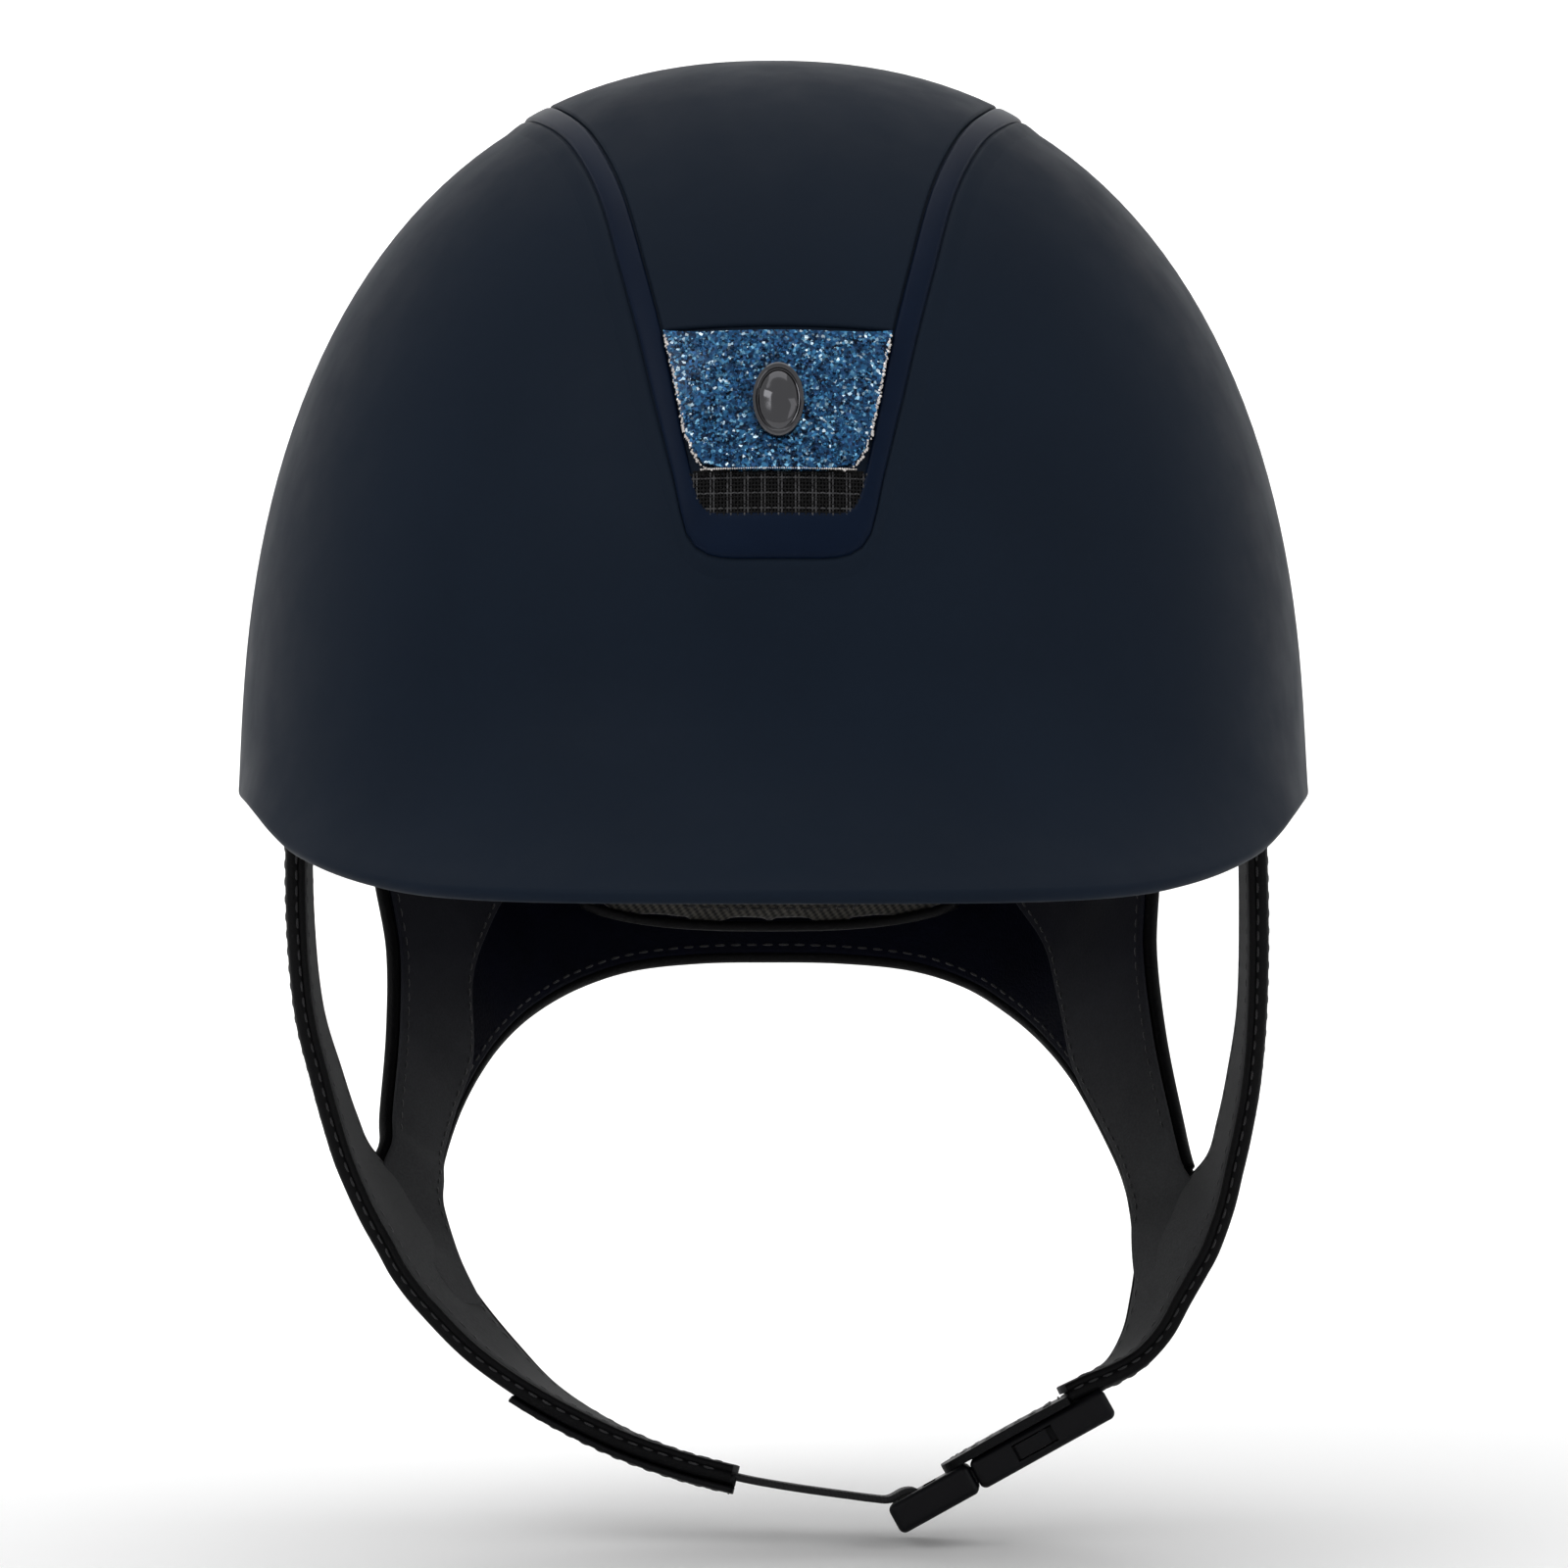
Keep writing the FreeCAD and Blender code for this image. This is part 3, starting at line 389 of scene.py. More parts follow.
# ------------------------------------------------------------------ materials
class Look:
    """A material with a Principled shader, its textures in the frame's own coordinates."""

    def __init__(self, name, base, rough, metallic=0.0, specular=0.5, sheen=0.0,
                 sheen_rough=0.5, coat=0.0, coat_rough=0.3):
        self.mat = bpy.data.materials.new(name)
        self.mat.use_nodes = True
        self.tree = self.mat.node_tree
        self.shader = self.tree.nodes["Principled BSDF"]
        settings = {"Base Color": (*base, 1), "Roughness": rough, "Metallic": metallic,
                    "Specular IOR Level": specular, "Sheen Weight": sheen,
                    "Sheen Roughness": sheen_rough, "Coat Weight": coat,
                    "Coat Roughness": coat_rough}
        for key, value in settings.items():
            self.shader.inputs[key].default_value = value
        self.coords = self.add("TexCoord").outputs["Object"]

    def add(self, kind, inputs=(), **settings):
        """New node; each input is linked to a socket or set to a value."""
        made = self.tree.nodes.new("ShaderNode" + kind)
        for key, value in settings.items():
            setattr(made, key, value)
        for key, value in dict(inputs).items():
            if isinstance(value, bpy.types.NodeSocket):
                self.tree.links.new(value, made.inputs[key])
            else:
                made.inputs[key].default_value = value
        return made

    def connect(self, name, socket):
        self.tree.links.new(socket, self.shader.inputs[name])

    def noise(self, scale, detail=4.0, rough=0.55):
        return self.add("TexNoise", {"Vector": self.coords, "Scale": scale, "Detail": detail,
                                     "Roughness": rough}).outputs["Fac"]

    def ramp(self, fac, stops):
        """Colour ramp; a stop's colour is three shares or one for a grey."""
        made = self.add("ValToRGB", {"Fac": fac})
        while len(made.color_ramp.elements) < len(stops):
            made.color_ramp.elements.new(0.5)
        for element, (at, colour) in zip(made.color_ramp.elements, stops):
            element.position = at
            element.color = (*colour, 1) if isinstance(colour, tuple) else (colour,) * 3 + (1,)
        return made.outputs["Color"]

    def bump(self, height, strength, distance, under=None):
        inputs = {"Strength": strength, "Distance": distance, "Height": height}
        if under is not None:
            inputs["Normal"] = under
        return self.add("Bump", inputs).outputs["Normal"]

    def calc(self, operation, *values):
        return self.add("Math", dict(enumerate(values)), operation=operation).outputs[0]

    def vector(self, operation, *values):
        made = self.add("VectorMath", dict(enumerate(values)), operation=operation)
        return made.outputs["Value" if operation == "DOT_PRODUCT" else 0]


def shade(base, share):
    return tuple(c * share for c in base)


def paint_material():
    look = Look("shell_paint", (0.0060, 0.0100, 0.0175), 0.55, specular=0.03)
    look.connect("Base Color", look.ramp(look.noise(22.0, 3.0), [(0.3, (0.0056, 0.0094, 0.0166)),
                                                                 (0.7, (0.0066, 0.0110, 0.0192))]))
    look.connect("Roughness", look.ramp(look.noise(90.0, 6.0), [(0.3, 0.46), (0.75, 0.56)]))
    look.connect("Normal", look.bump(look.noise(2600.0, 2.0), 0.10, 0.0001))
    return look.mat


def satin_material():
    look = Look("rail_satin", (0.0018, 0.0056, 0.0155), 0.42, specular=0.05)
    look.connect("Base Color", look.ramp(look.noise(60.0, 3.0), [(0.3, (0.0016, 0.0050, 0.0145)),
                                                                 (0.7, (0.0024, 0.0066, 0.0180))]))
    look.connect("Normal", look.bump(look.noise(1500.0, 2.0), 0.05, 0.0001))
    return look.mat


def crystal_material():
    """Packed crystals: every cell has its own tint, tilt and polish."""
    look = Look("crystal", (0.03, 0.10, 0.28), 0.16, metallic=0.85, specular=0.5, coat=0.15,
                coat_rough=0.10)
    cells = look.add("TexVoronoi", {"Vector": look.coords, "Scale": 1900.0}, feature="F1")
    split = look.add("SeparateColor", {"Color": cells.outputs["Color"]})
    tints = [(0.0, (0.002, 0.012, 0.040)), (0.36, (0.004, 0.036, 0.100)),
             (0.62, (0.010, 0.075, 0.190)), (0.80, (0.030, 0.150, 0.300)),
             (0.93, (0.16, 0.38, 0.55)), (1.0, (0.75, 0.90, 1.0))]
    look.connect("Base Color", look.ramp(split.outputs[0], tints))
    centred = look.vector("SUBTRACT", cells.outputs["Color"], (0.5, 0.5, 0.5))
    scaled = look.add("VectorMath", {0: centred, "Scale": 1.35}, operation="SCALE").outputs[0]
    facing = look.add("NewGeometry").outputs["Normal"]
    look.connect("Normal", look.vector("NORMALIZE", look.vector("ADD", facing, scaled)))
    look.connect("Roughness", look.ramp(split.outputs[1], [(0.0, 0.08), (1.0, 0.42)]))
    return look.mat


def metal_material(name, base, rough):
    look = Look(name, base, rough, metallic=1.0)
    smears = [(0.3, rough * 0.7), (0.75, rough * 1.5)]
    look.connect("Roughness", look.ramp(look.noise(420.0, 4.0), smears))
    look.connect("Normal", look.bump(look.noise(1600.0, 2.0), 0.03, 0.0001))
    return look.mat


def wire_material(name, base):
    look = Look(name, base, 0.42, metallic=0.3, specular=0.15)
    wear = [(0.35, shade(base, 0.6)), (0.75, shade(base, 1.7))]
    look.connect("Base Color", look.ramp(look.noise(900.0, 3.0), wear))
    return look.mat


def leather_material(name, base, rough, specular):
    """Leather: creases between the cells of its grain, a cloudy tone and fine pores."""
    look = Look(name, base, rough, specular=specular)
    warp = look.calc("MULTIPLY", look.noise(260.0, 3.0), 0.0012)
    cells = look.add("TexVoronoi", {"Vector": look.vector("ADD", look.coords, warp),
                                    "Scale": 900.0}, feature="DISTANCE_TO_EDGE")
    creases = look.ramp(cells.outputs["Distance"], [(0.0, 0.0), (0.16, 1.0)])
    cloud = look.noise(70.0, 5.0)
    tones = [(0.3, shade(base, 0.75)), (0.72, shade(base, 1.35))]
    look.connect("Base Color", look.ramp(cloud, tones))
    look.connect("Roughness", look.ramp(cloud, [(0.3, rough * 0.88), (0.7, rough * 1.12)]))
    grain = look.bump(creases, 0.22, 0.00025)
    look.connect("Normal", look.bump(look.noise(2400.0, 3.0), 0.10, 0.0001, grain))
    return look.mat


def cloth_material(name, dark, light, direction_a, direction_b, period, rough=0.9, sheen=0.35):
    """Woven cloth: two crossing rib directions, a period in millimetres apart."""
    look = Look(name, dark, rough, specular=0.2, sheen=sheen, sheen_rough=0.4)
    wobble = look.calc("MULTIPLY", look.noise(180.0, 2.0), 1.6)
    waves = []
    for direction, share in ((direction_a, 1.0), (direction_b, 0.45)):
        along = look.vector("DOT_PRODUCT", look.coords, direction)
        turned = look.calc("MULTIPLY", along, 2 * math.pi / (period * MM * share))
        wave = look.calc("SINE", look.calc("ADD", turned, wobble))
        waves.append(look.calc("MULTIPLY", wave, share))
    height = look.calc("ADD", look.calc("MULTIPLY", look.calc("ADD", *waves), 0.34), 0.5)
    fuzz = look.calc("MULTIPLY", look.noise(2200.0, 3.0), 0.25)
    tone = look.calc("ADD", look.calc("MULTIPLY", height, 0.75), fuzz)
    look.connect("Base Color", look.ramp(tone, [(0.22, dark), (0.8, light)]))
    look.connect("Normal", look.bump(tone, 0.55, 0.0004))
    return look.mat


def micro_material(name, dark, light, fade=None):
    """Short-napped microfibre; fade, when given, paints shade on it, darker towards the top between two
    heights in metres.
    """
    look = Look(name, dark, 0.95, specular=0.15, sheen=0.08, sheen_rough=0.35)
    nap = look.noise(1900.0, 4.0, 0.7)
    cloud = look.calc("MULTIPLY", look.noise(55.0, 4.0), 0.4)
    tone = look.calc("ADD", look.calc("MULTIPLY", nap, 0.6), cloud)
    colour = look.ramp(tone, [(0.3, dark), (0.7, light)])
    # Painted shade: the colour darkens upwards from the low height to the high one.
    if fade:
        low, high, shade_tint = fade
        height = look.vector("DOT_PRODUCT", look.coords, (0.0, 0.0, 1.0))
        share = look.calc("MULTIPLY", look.calc("ADD", height, -low), 1 / (high - low))
        colour = look.vector("MULTIPLY", colour, look.ramp(share, [(0.0, 1.0), (1.0, shade_tint)]))
    look.connect("Base Color", colour)
    look.connect("Normal", look.bump(nap, 0.35, 0.0003))
    return look.mat


def plastic_material(name, base, rough):
    look = Look(name, base, rough, specular=0.12)
    wear = look.noise(130.0, 5.0)
    look.connect("Normal", look.bump(look.noise(1700.0, 3.0), 0.18, 0.00012))
    look.connect("Roughness", look.ramp(wear, [(0.3, rough * 0.85), (0.72, rough * 1.2)]))
    look.connect("Base Color", look.ramp(wear, [(0.3, shade(base, 0.8)), (0.75, shade(base, 1.3))]))
    return look.mat


def foam_material():
    """Moulded bead foam: the outlines of pressed beads, painted black."""
    look = Look("bead_foam", (0.012, 0.012, 0.014), 0.78, specular=0.3)
    beads = look.add("TexVoronoi", {"Vector": look.coords, "Scale": 330.0},
                     feature="DISTANCE_TO_EDGE").outputs["Distance"]
    look.connect("Base Color", look.ramp(beads, [(0.0, (0.005, 0.005, 0.006)),
                                                 (0.12, (0.018, 0.018, 0.020))]))
    seam = look.ramp(beads, [(0.0, 0.0), (0.10, 1.0)])
    look.connect("Normal", look.bump(seam, 0.5, 0.0004))
    return look.mat


def floor_material():
    pale = (0.93, 0.93, 0.93)
    look = Look("pale_floor", pale, 0.9, specular=0.1)
    tones = [(0.2, shade(pale, 0.985)), (0.8, pale)]
    look.connect("Base Color", look.ramp(look.noise(2.0, 2.0), tones))
    return look.mat


PAINT = paint_material()
SATIN = satin_material()
CRYSTAL = crystal_material()
METAL = metal_material("dark_chrome", (0.075, 0.075, 0.08), 0.10)
STEEL = metal_material("plain_steel", (0.5, 0.5, 0.5), 0.35)
WIRE_DARK = wire_material("wire_dark", (0.0022, 0.0022, 0.0024))
WIRE_GREY = wire_material("wire_grey", (0.040, 0.040, 0.042))
LEATHER = leather_material("harness_leather", (0.0030, 0.0031, 0.0038), 0.50, 0.10)
LEATHER_IN = leather_material("yoke_leather", (0.0010, 0.0014, 0.0050), 0.60, 0.04)
EDGE = leather_material("edge_binding", (0.0018, 0.0018, 0.0022), 0.55, 0.08)
LINING = micro_material("grey_microfibre", (0.026, 0.0265, 0.028), (0.056, 0.057, 0.059))
# The yoke facing: the grey microfibre with painted shade, darker towards its top where the shell shades
# it.
FACING = micro_material("microfibre_painted_shade", (0.026, 0.0265, 0.028), (0.056, 0.057, 0.059),
                        (-0.080, -0.030, (0.16, 0.17, 0.26)))
TWILL = cloth_material("twill_textile", (0.008, 0.008, 0.008), (0.062, 0.058, 0.050),
                       (0.83, 0.0, 0.55), (-0.55, 0.0, 0.83), 1.5)
PEAK_CLOTH = cloth_material("peak_cloth", (0.008, 0.008, 0.010), (0.020, 0.020, 0.024),
                            (1.0, 0.0, 0.0), (0.0, 1.0, 0.0), 1.1, sheen=0.2)
WEB = cloth_material("webbing", (0.0015, 0.0015, 0.0020), (0.010, 0.010, 0.011),
                     (0.0, 1.0, 0.0), (0.8, 0.0, 0.35), 1.3, rough=0.7, sheen=0.15)
THREAD = cloth_material("thread", (0.010, 0.010, 0.011), (0.032, 0.032, 0.034),
                        (1.0, 0.4, 0.7), (0.3, 1.0, -0.5), 0.35, rough=0.6, sheen=0.2)
THREAD_DARK = cloth_material("thread_dark", (0.006, 0.006, 0.009), (0.018, 0.018, 0.022),
                             (1.0, 0.4, 0.7), (0.3, 1.0, -0.5), 0.35, rough=0.6, sheen=0.2)
PLASTIC = plastic_material("buckle_plastic", (0.0020, 0.0020, 0.0030), 0.46)
RUBBER = plastic_material("rim_rubber", (0.0030, 0.0030, 0.0034), 0.62)
FOAM = foam_material()


# ------------------------------------------------------------------ hard shell
def evaluated_copy(obj, name):
    graph = bpy.context.evaluated_depsgraph_get()
    mesh = bpy.data.meshes.new_from_object(obj.evaluated_get(graph), depsgraph=graph)
    mesh.name = name
    return mesh


def box_verts(centre, x_dir, y_dir, size):
    z_dir = x_dir.cross(y_dir).normalized()
    verts = []
    for sx in (-1, 1):
        for sy in (-1, 1):
            for sz in (-1, 1):
                verts.append(centre + x_dir * (sx * size[0] / 2) + y_dir * (sy * size[1] / 2)
                             + z_dir * (sz * size[2] / 2))
    faces = [(0, 1, 3, 2), (4, 6, 7, 5), (0, 4, 5, 1), (2, 3, 7, 6), (0, 2, 6, 4), (1, 5, 7, 3)]
    return verts, faces


def window_box(low_angle, high_angle, half):
    middle = math.radians((low_angle + high_angle) / 2)
    outward = Vector((0, -math.sin(middle), math.cos(middle)))
    a, b = strip_point(low_angle, 0), strip_point(high_angle, 0)
    return box_verts((a + b) * 0.5, Vector((1, 0, 0)), outward, (2 * half, 26.0, (a - b).length))


def dome_heights(bottom, low_count, high_count):
    """Heights from the rim to just short of the crown, closer together near both ends."""
    first = 14.0
    out = [bottom + (first - bottom) * i / low_count for i in range(low_count)]
    start = math.asin((first / HEIGHT) ** 1.15)
    for i in range(high_count):
        t = start + (math.pi / 2 - 0.03 - start) * i / (high_count - 1)
        scale = (math.cos(t) ** PROFILE + math.sin(t) ** PROFILE) ** (-1 / PROFILE)
        out.append(HEIGHT * math.sin(t) * scale if i else first)
    return out


def build_shell():
    """Outer shell with its peak, a rolled edge and two air windows."""
    columns = 240
    outer_cols, inner_cols, lips = [], [], []
    for i in range(columns):
        phi = 360 * i / columns
        rim = rim_height(phi)
        heights = dome_heights(rim, 14, 44)
        outer = [dome_point(phi, z) for z in heights]
        normals = [dome_normal(phi, z) for z in heights]
        inner = [p - n * WALL for p, n in zip(outer, normals)]
        down = (outer[0] - outer[1]).normalized()
        middle = (outer[0] + inner[0]) * 0.5
        across = (outer[0] - inner[0]) * 0.5
        lips.append([middle + across * math.cos(a) + down * (WALL * 0.5 * math.sin(a))
                     for a in (math.pi * k / 8 for k in range(1, 8))])
        outer_cols.append(outer)
        inner_cols.append(inner)
    rings = [list(r) for r in zip(*outer_cols)][::-1]
    rings += [list(r) for r in zip(*lips)]
    rings += [list(r) for r in zip(*inner_cols)]
    skin = closed_skin(Vector((0, 0, HEIGHT)), rings, Vector((0, 0, HEIGHT - WALL)))
    raw = new_object("shell_blank", skin, PAINT, None)
    parts = merge([window_box(BAND_BOTTOM + 0.6, MESH_BOTTOM - 0.6, 11.0),
                   window_box(OUTLET_BOTTOM + 3, PANEL_REAR - 4, 13.0)])
    cutter = new_object("shell_cutter", parts, PAINT, None)
    cut = raw.modifiers.new("windows", "BOOLEAN")
    cut.operation = "DIFFERENCE"
    cut.solver = "EXACT"
    cut.object = cutter
    mesh = evaluated_copy(raw, "shell")
    for obj in (raw, cutter):
        bpy.data.objects.remove(obj, do_unlink=True)
    shell = bpy.data.objects.new("shell", mesh)
    bpy.context.scene.collection.objects.link(shell)
    mesh.shade_smooth()
    mesh.set_sharp_from_angle(angle=math.radians(40))
    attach(shell, "helmet")
    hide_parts("outer_shell")


def rail_outer(a):
    return table_value(RAIL_OUTER, a)


def rail_inner(a):
    return table_value(RAIL_INNER, a)


def trim_stations():
    """(inner angle, inner x, outer angle, outer x) up one side of the trim, front to rear."""
    front = [(MESH_BOTTOM, 0.0, CAP_BOTTOM, 0.0), (MESH_BOTTOM, 4.0, CAP_BOTTOM, 3.8),
             (MESH_BOTTOM, 8.0, CAP_BOTTOM, 7.6),
             (74.3, 10.6, 78.2, 10.4), (74.15, 12.4, 77.9, 12.9), (73.6, 13.9, 77.2, 15.2),
             (72.6, 14.9, 76.0, 16.8), (71.0, 15.8, 74.2, 17.8), (68.6, 16.9, 70.9, 19.2)]
    sides = [(a, rail_inner(a), a + share, rail_outer(a + share))
             for a, share in [(65.5, 1.2), (62.5, 0.5)] + [(60 - 2.5 * k, 0.0) for k in range(57)]]
    rear = [(-82.2, rail_inner(-82.2), -83.6, rail_outer(-83.6)), (-83.4, 13.6, -86.6, 18.4),
            (-83.9, 11.2, -89.6, 15.8), (-84.0, 8.0, -91.6, 11.8),
            (OUTLET_BOTTOM, 4.0, REAR_BOTTOM, 6.0),
            (OUTLET_BOTTOM, 0.0, REAR_BOTTOM, 0.0)]
    return front + sides + rear


def build_trim():
    """One moulded frame round the panel: rails, front bar and rear bar."""
    half = trim_stations()
    ring = half + [(ai, -x, ao, -xo) for ai, x, ao, xo in reversed(half[1:-1])]
    profile = [(0.0, -0.3), (0.0, 0.30), (0.035, 0.60), (0.10, 0.76), (0.2, 0.82), (0.5, 0.85),
               (0.8, 0.80), (0.90, 0.70), (0.965, 0.50), (1.0, 0.20), (1.0, -0.3)]
    rings = []
    for ai, x, ao, xo in ring:
        rings.append([strip_point(ai + (ao - ai) * share, x + (xo - x) * share, proud)
                      for share, proud in profile])
    trim = new_object("trim_frame", hoop(rings), SATIN, "helmet", 50)
    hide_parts("rail_left", "rail_right", "front_cap", "rear_cap")
    profile = [(0.0, -0.10), (0.05, 0.26), (0.22, 0.40), (0.45, 0.30), (0.72, 0.12), (1.0, -0.06)]
    rings = []
    for ai, x, ao, xo in ring:
        step = Vector((ao - ai, xo - x))
        size = math.hypot(step.x * 2.15, step.y)
        unit = step / max(size, 0.1)
        row = []
        for share, proud in profile:
            reach = 0.15 + 4.2 * share
            row.append(strip_point(ao + unit.x * reach, xo + unit.y * reach, proud))
        row.append(strip_point(ao + unit.x * 0.15, xo + unit.y * 0.15, -0.6))
        rings.append(row)
    new_object("shell_lip", hoop(rings), PAINT, "helmet", 60)


def strip_sheet(angles, half_of, low, high, across, name, mat, wave=None, bevel=0.5):
    top, under = [], []
    for a in angles:
        half = half_of(a)
        row_top, row_low = [], []
        for j in range(across):
            u = -1 + 2 * j / (across - 1)
            angle = a + (wave(u) if wave else 0.0)
            row_top.append(strip_point(angle, half * u, high))
            row_low.append(strip_point(angle, half * u, low))
        top.append(row_top)
        under.append(row_low)
    obj = new_object(name, closed_plate(top, under), mat, "helmet", 45)
    if bevel:
        add_bevel(obj, bevel, 3, 50)
    return obj


def spread(first, last, count):
    return [first + (last - first) * i / (count - 1) for i in range(count)]


def build_panel():
    panel = strip_sheet(spread(PANEL_FRONT - 0.3, PANEL_REAR + 0.8, 90), lambda a: rail_inner(a) - 0.3,
                        -0.6, 0.80, 25, "centre_panel", PAINT, bevel=0.7)
    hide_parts("top_panel")


def band_half(a):
    if a < 66.0:
        return rail_inner(a) - 0.25
    share = (a - 66.0) / (BAND_BOTTOM - 66.0)
    full = rail_inner(a) - 0.25
    return full - 3.4 * (1 - math.sqrt(max(1 - share ** 2.6, 0.0)))


FIELD_STONES, SIDE_STONES, LOWER_STONES = 900, 75, 70
STONE_SIZES = (0.45, 0.55, 0.7, 0.95)


def build_band():
    angles = [BAND_TOP + (BAND_BOTTOM - BAND_TOP) * (1 - (1 - i / 23) ** 1.5) for i in range(24)]
    band = strip_sheet(angles, band_half, -0.3, 1.5, 41, "crystal_band", CRYSTAL,
                       wave=lambda u: -0.55 * abs(u) ** 5, bevel=0.35)
    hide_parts("frontal_band")
    rng = random.Random(11)
    parts, rim_parts = [], []

    def stone(angle, x, size, proud, tilt):
        here = strip_point(angle, x, proud)
        out = (strip_point(angle, x, proud + 1) - here).normalized()
        side = Vector((1, 0, 0)) - out * out.x
        side.normalize()
        up = out.cross(side)
        out = (out + side * rng.uniform(-tilt, tilt) + up * rng.uniform(-tilt, tilt)).normalized()
        side = (side - out * side.dot(out)).normalized()
        up = out.cross(side)
        turn = rng.uniform(0, math.pi)
        verts = []
        for radius, high in ((1.0, 0.0), (0.98, 0.16), (0.55, 0.46)):
            for k in range(6):
                a = turn + math.pi / 3 * k
                verts.append(here + (side * math.cos(a) + up * math.sin(a)) * radius * size / 2
                             + out * high * size)
        faces = [tuple(range(12, 18)), tuple(reversed(range(6)))]
        for r in (0, 6):
            for k in range(6):
                faces.append((r + k, r + (k + 1) % 6, r + 6 + (k + 1) % 6, r + 6 + k))
        return verts, faces

    for _ in range(FIELD_STONES):
        angle = rng.uniform(BAND_TOP + 0.3, BAND_BOTTOM - 0.3)
        half = band_half(angle) - 0.7
        x = rng.uniform(-half, half)
        parts.append(stone(angle, x, rng.choice(STONE_SIZES), 1.46, 0.5))
    new_object("crystal_stones", merge(parts), CRYSTAL, "helmet", 5)
    for k in range(2 * SIDE_STONES):
        angle = BAND_TOP + (BAND_BOTTOM - BAND_TOP) * (k % SIDE_STONES) / (SIDE_STONES - 1)
        side = 1 if k < SIDE_STONES else -1
        rim_parts.append(stone(angle, side * (band_half(angle) - rng.uniform(0.05, 0.6)),
                               rng.uniform(0.35, 0.85), 1.3, 0.7))
    for x in spread(-14, 14, LOWER_STONES):
        rim_parts.append(stone(BAND_BOTTOM - 0.1, x, 0.5, 1.3, 0.7))
    new_object("crystal_edge", merge(rim_parts), PEARL, "helmet", 5)


def build_badge():
    """Plain oval stud with a stepped rim and a domed face."""
    here = strip_point(64.7, 0, 1.5)
    out = (strip_point(64.7, 0, 2.5) - here).normalized()
    side = Vector((1, 0, 0))
    up = out.cross(side).normalized()
    if up.z < 0:
        up = -up
    steps = [(1.0, 0.15), (1.0, 0.95), (0.985, 1.25), (0.94, 1.48), (0.88, 1.50), (0.84, 1.36),
             (0.82, 1.15), (0.79, 1.12), (0.75, 1.38), (0.66, 1.75), (0.52, 2.08), (0.36, 2.30),
             (0.18, 2.42)]
    n = 64
    rings = []
    for share, high in steps:
        ring = []
        for k in range(n):
            a = 2 * math.pi * k / n
            across, along = 4.75 * share * math.cos(a), 7.5 * share * math.sin(a)
            ridge = (across * 0.35 + along * 0.94) / 1.5
            swell = 0.30 * math.exp(-ridge * ridge) if share < 0.76 else 0.0
            ring.append(here + side * across + up * along + out * (high + swell))
        rings.append(ring)
    skin = closed_skin(here, rings, here + out * 2.75)
    badge = new_object("badge_oval", skin, METAL, "helmet", 28)
    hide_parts("badge")


def woven(angle0, angle1, half_of, x_gap, rows, low, name, wire):
    """Woven wire cloth over part of the strip, some of its wires lighter."""
    plain, light = [], []
    x_max = max(half_of(angle0), half_of(angle1))
    count = int(x_max / x_gap)
    for k in range(-count, count + 1):
        x = k * x_gap
        path = []
        steps = rows * 4
        for i in range(steps + 1):
            a = angle0 + (angle1 - angle0) * i / steps
            if abs(x) > half_of(a) - 0.2:
                continue
            wave = wire * 0.9 * math.sin(math.pi * i / 4 + (math.pi if k % 2 else 0) + math.pi / 4)
            path.append(strip_point(a, x, low + wave))
        if len(path) > 4:
            (light if k % 5 in (0, 1) else plain).append(tube_mesh(path, wire, 6))
    for r in range(rows + 1):
        a = angle0 + (angle1 - angle0) * (r + 0.5) / (rows + 1)
        half = half_of(a) - 0.2
        steps = max(int(half / x_gap) * 4, 8)
        path = []
        for i in range(steps + 1):
            x = -half + 2 * half * i / steps
            wave = -wire * 0.9 * math.cos(math.pi * x / x_gap) * (1 if r % 2 else -1)
            path.append(strip_point(a, x, low + wave))
        (light if r % 4 == 1 else plain).append(tube_mesh(path, wire, 6))
    first = new_object(name, merge(plain), WIRE_DARK, "helmet", 60)
    new_object(name + "_pairs", merge(light), WIRE_GREY, "helmet", 60)
    return first


def build_grilles():
    inlet = woven(BAND_BOTTOM + 0.1, MESH_BOTTOM + 0.5,
                  lambda a: 16.4 - 0.55 * max(a - 72.5, 0) ** 1.6,
                  0.62, 11, 0.45, "inlet_wires", 0.17)
    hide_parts("inlet_mesh")
    outlet = woven(OUTLET_BOTTOM + 0.2, PANEL_REAR + 0.3, lambda a: rail_inner(a) - 0.1,
                   1.25, 28, 0.42, "outlet_wires", 0.28)
    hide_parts("outlet_grille")
    # Near-black woven sheets close both windows under the wires: painted shade behind the grilles.
    for name, a0, a1, half in (("inlet_shade", BAND_BOTTOM - 0.2, MESH_BOTTOM + 0.3, 15.6),
                               ("outlet_shade", OUTLET_BOTTOM, PANEL_REAR + 0.6, 16.5)):
        strip_sheet(spread(a0, a1, 12), lambda a, h=half: h, -0.35, 0.04, 25, name, SHADE_SHEET,
                    bevel=0)


PEARL = metal_material("pearl_edge", (0.55, 0.52, 0.50), 0.3)
# Near-black cloth for the sheets behind the grilles: painted shade.
SHADE_SHEET = cloth_material("painted_shade_sheet", (0.0015, 0.0015, 0.0015), (0.006, 0.006, 0.006), (1.0, 0.0, 0.0),
                       (0.0, -0.6, 0.8), 0.5, sheen=0.0)
build_shell()
build_trim()
build_panel()
build_band()
build_badge()
build_grilles()


# ------------------------------------------------------------------ inside the shell
FOAM_GAP, FOAM_DEPTH, FOAM_LIFT = 3.5, 23.0, 6.0
CHANNELS, CHANNEL_DEPTH = (0, 62, 118, 180, -62, -118), 5.0
DOWN = Vector((0, 0, -1))


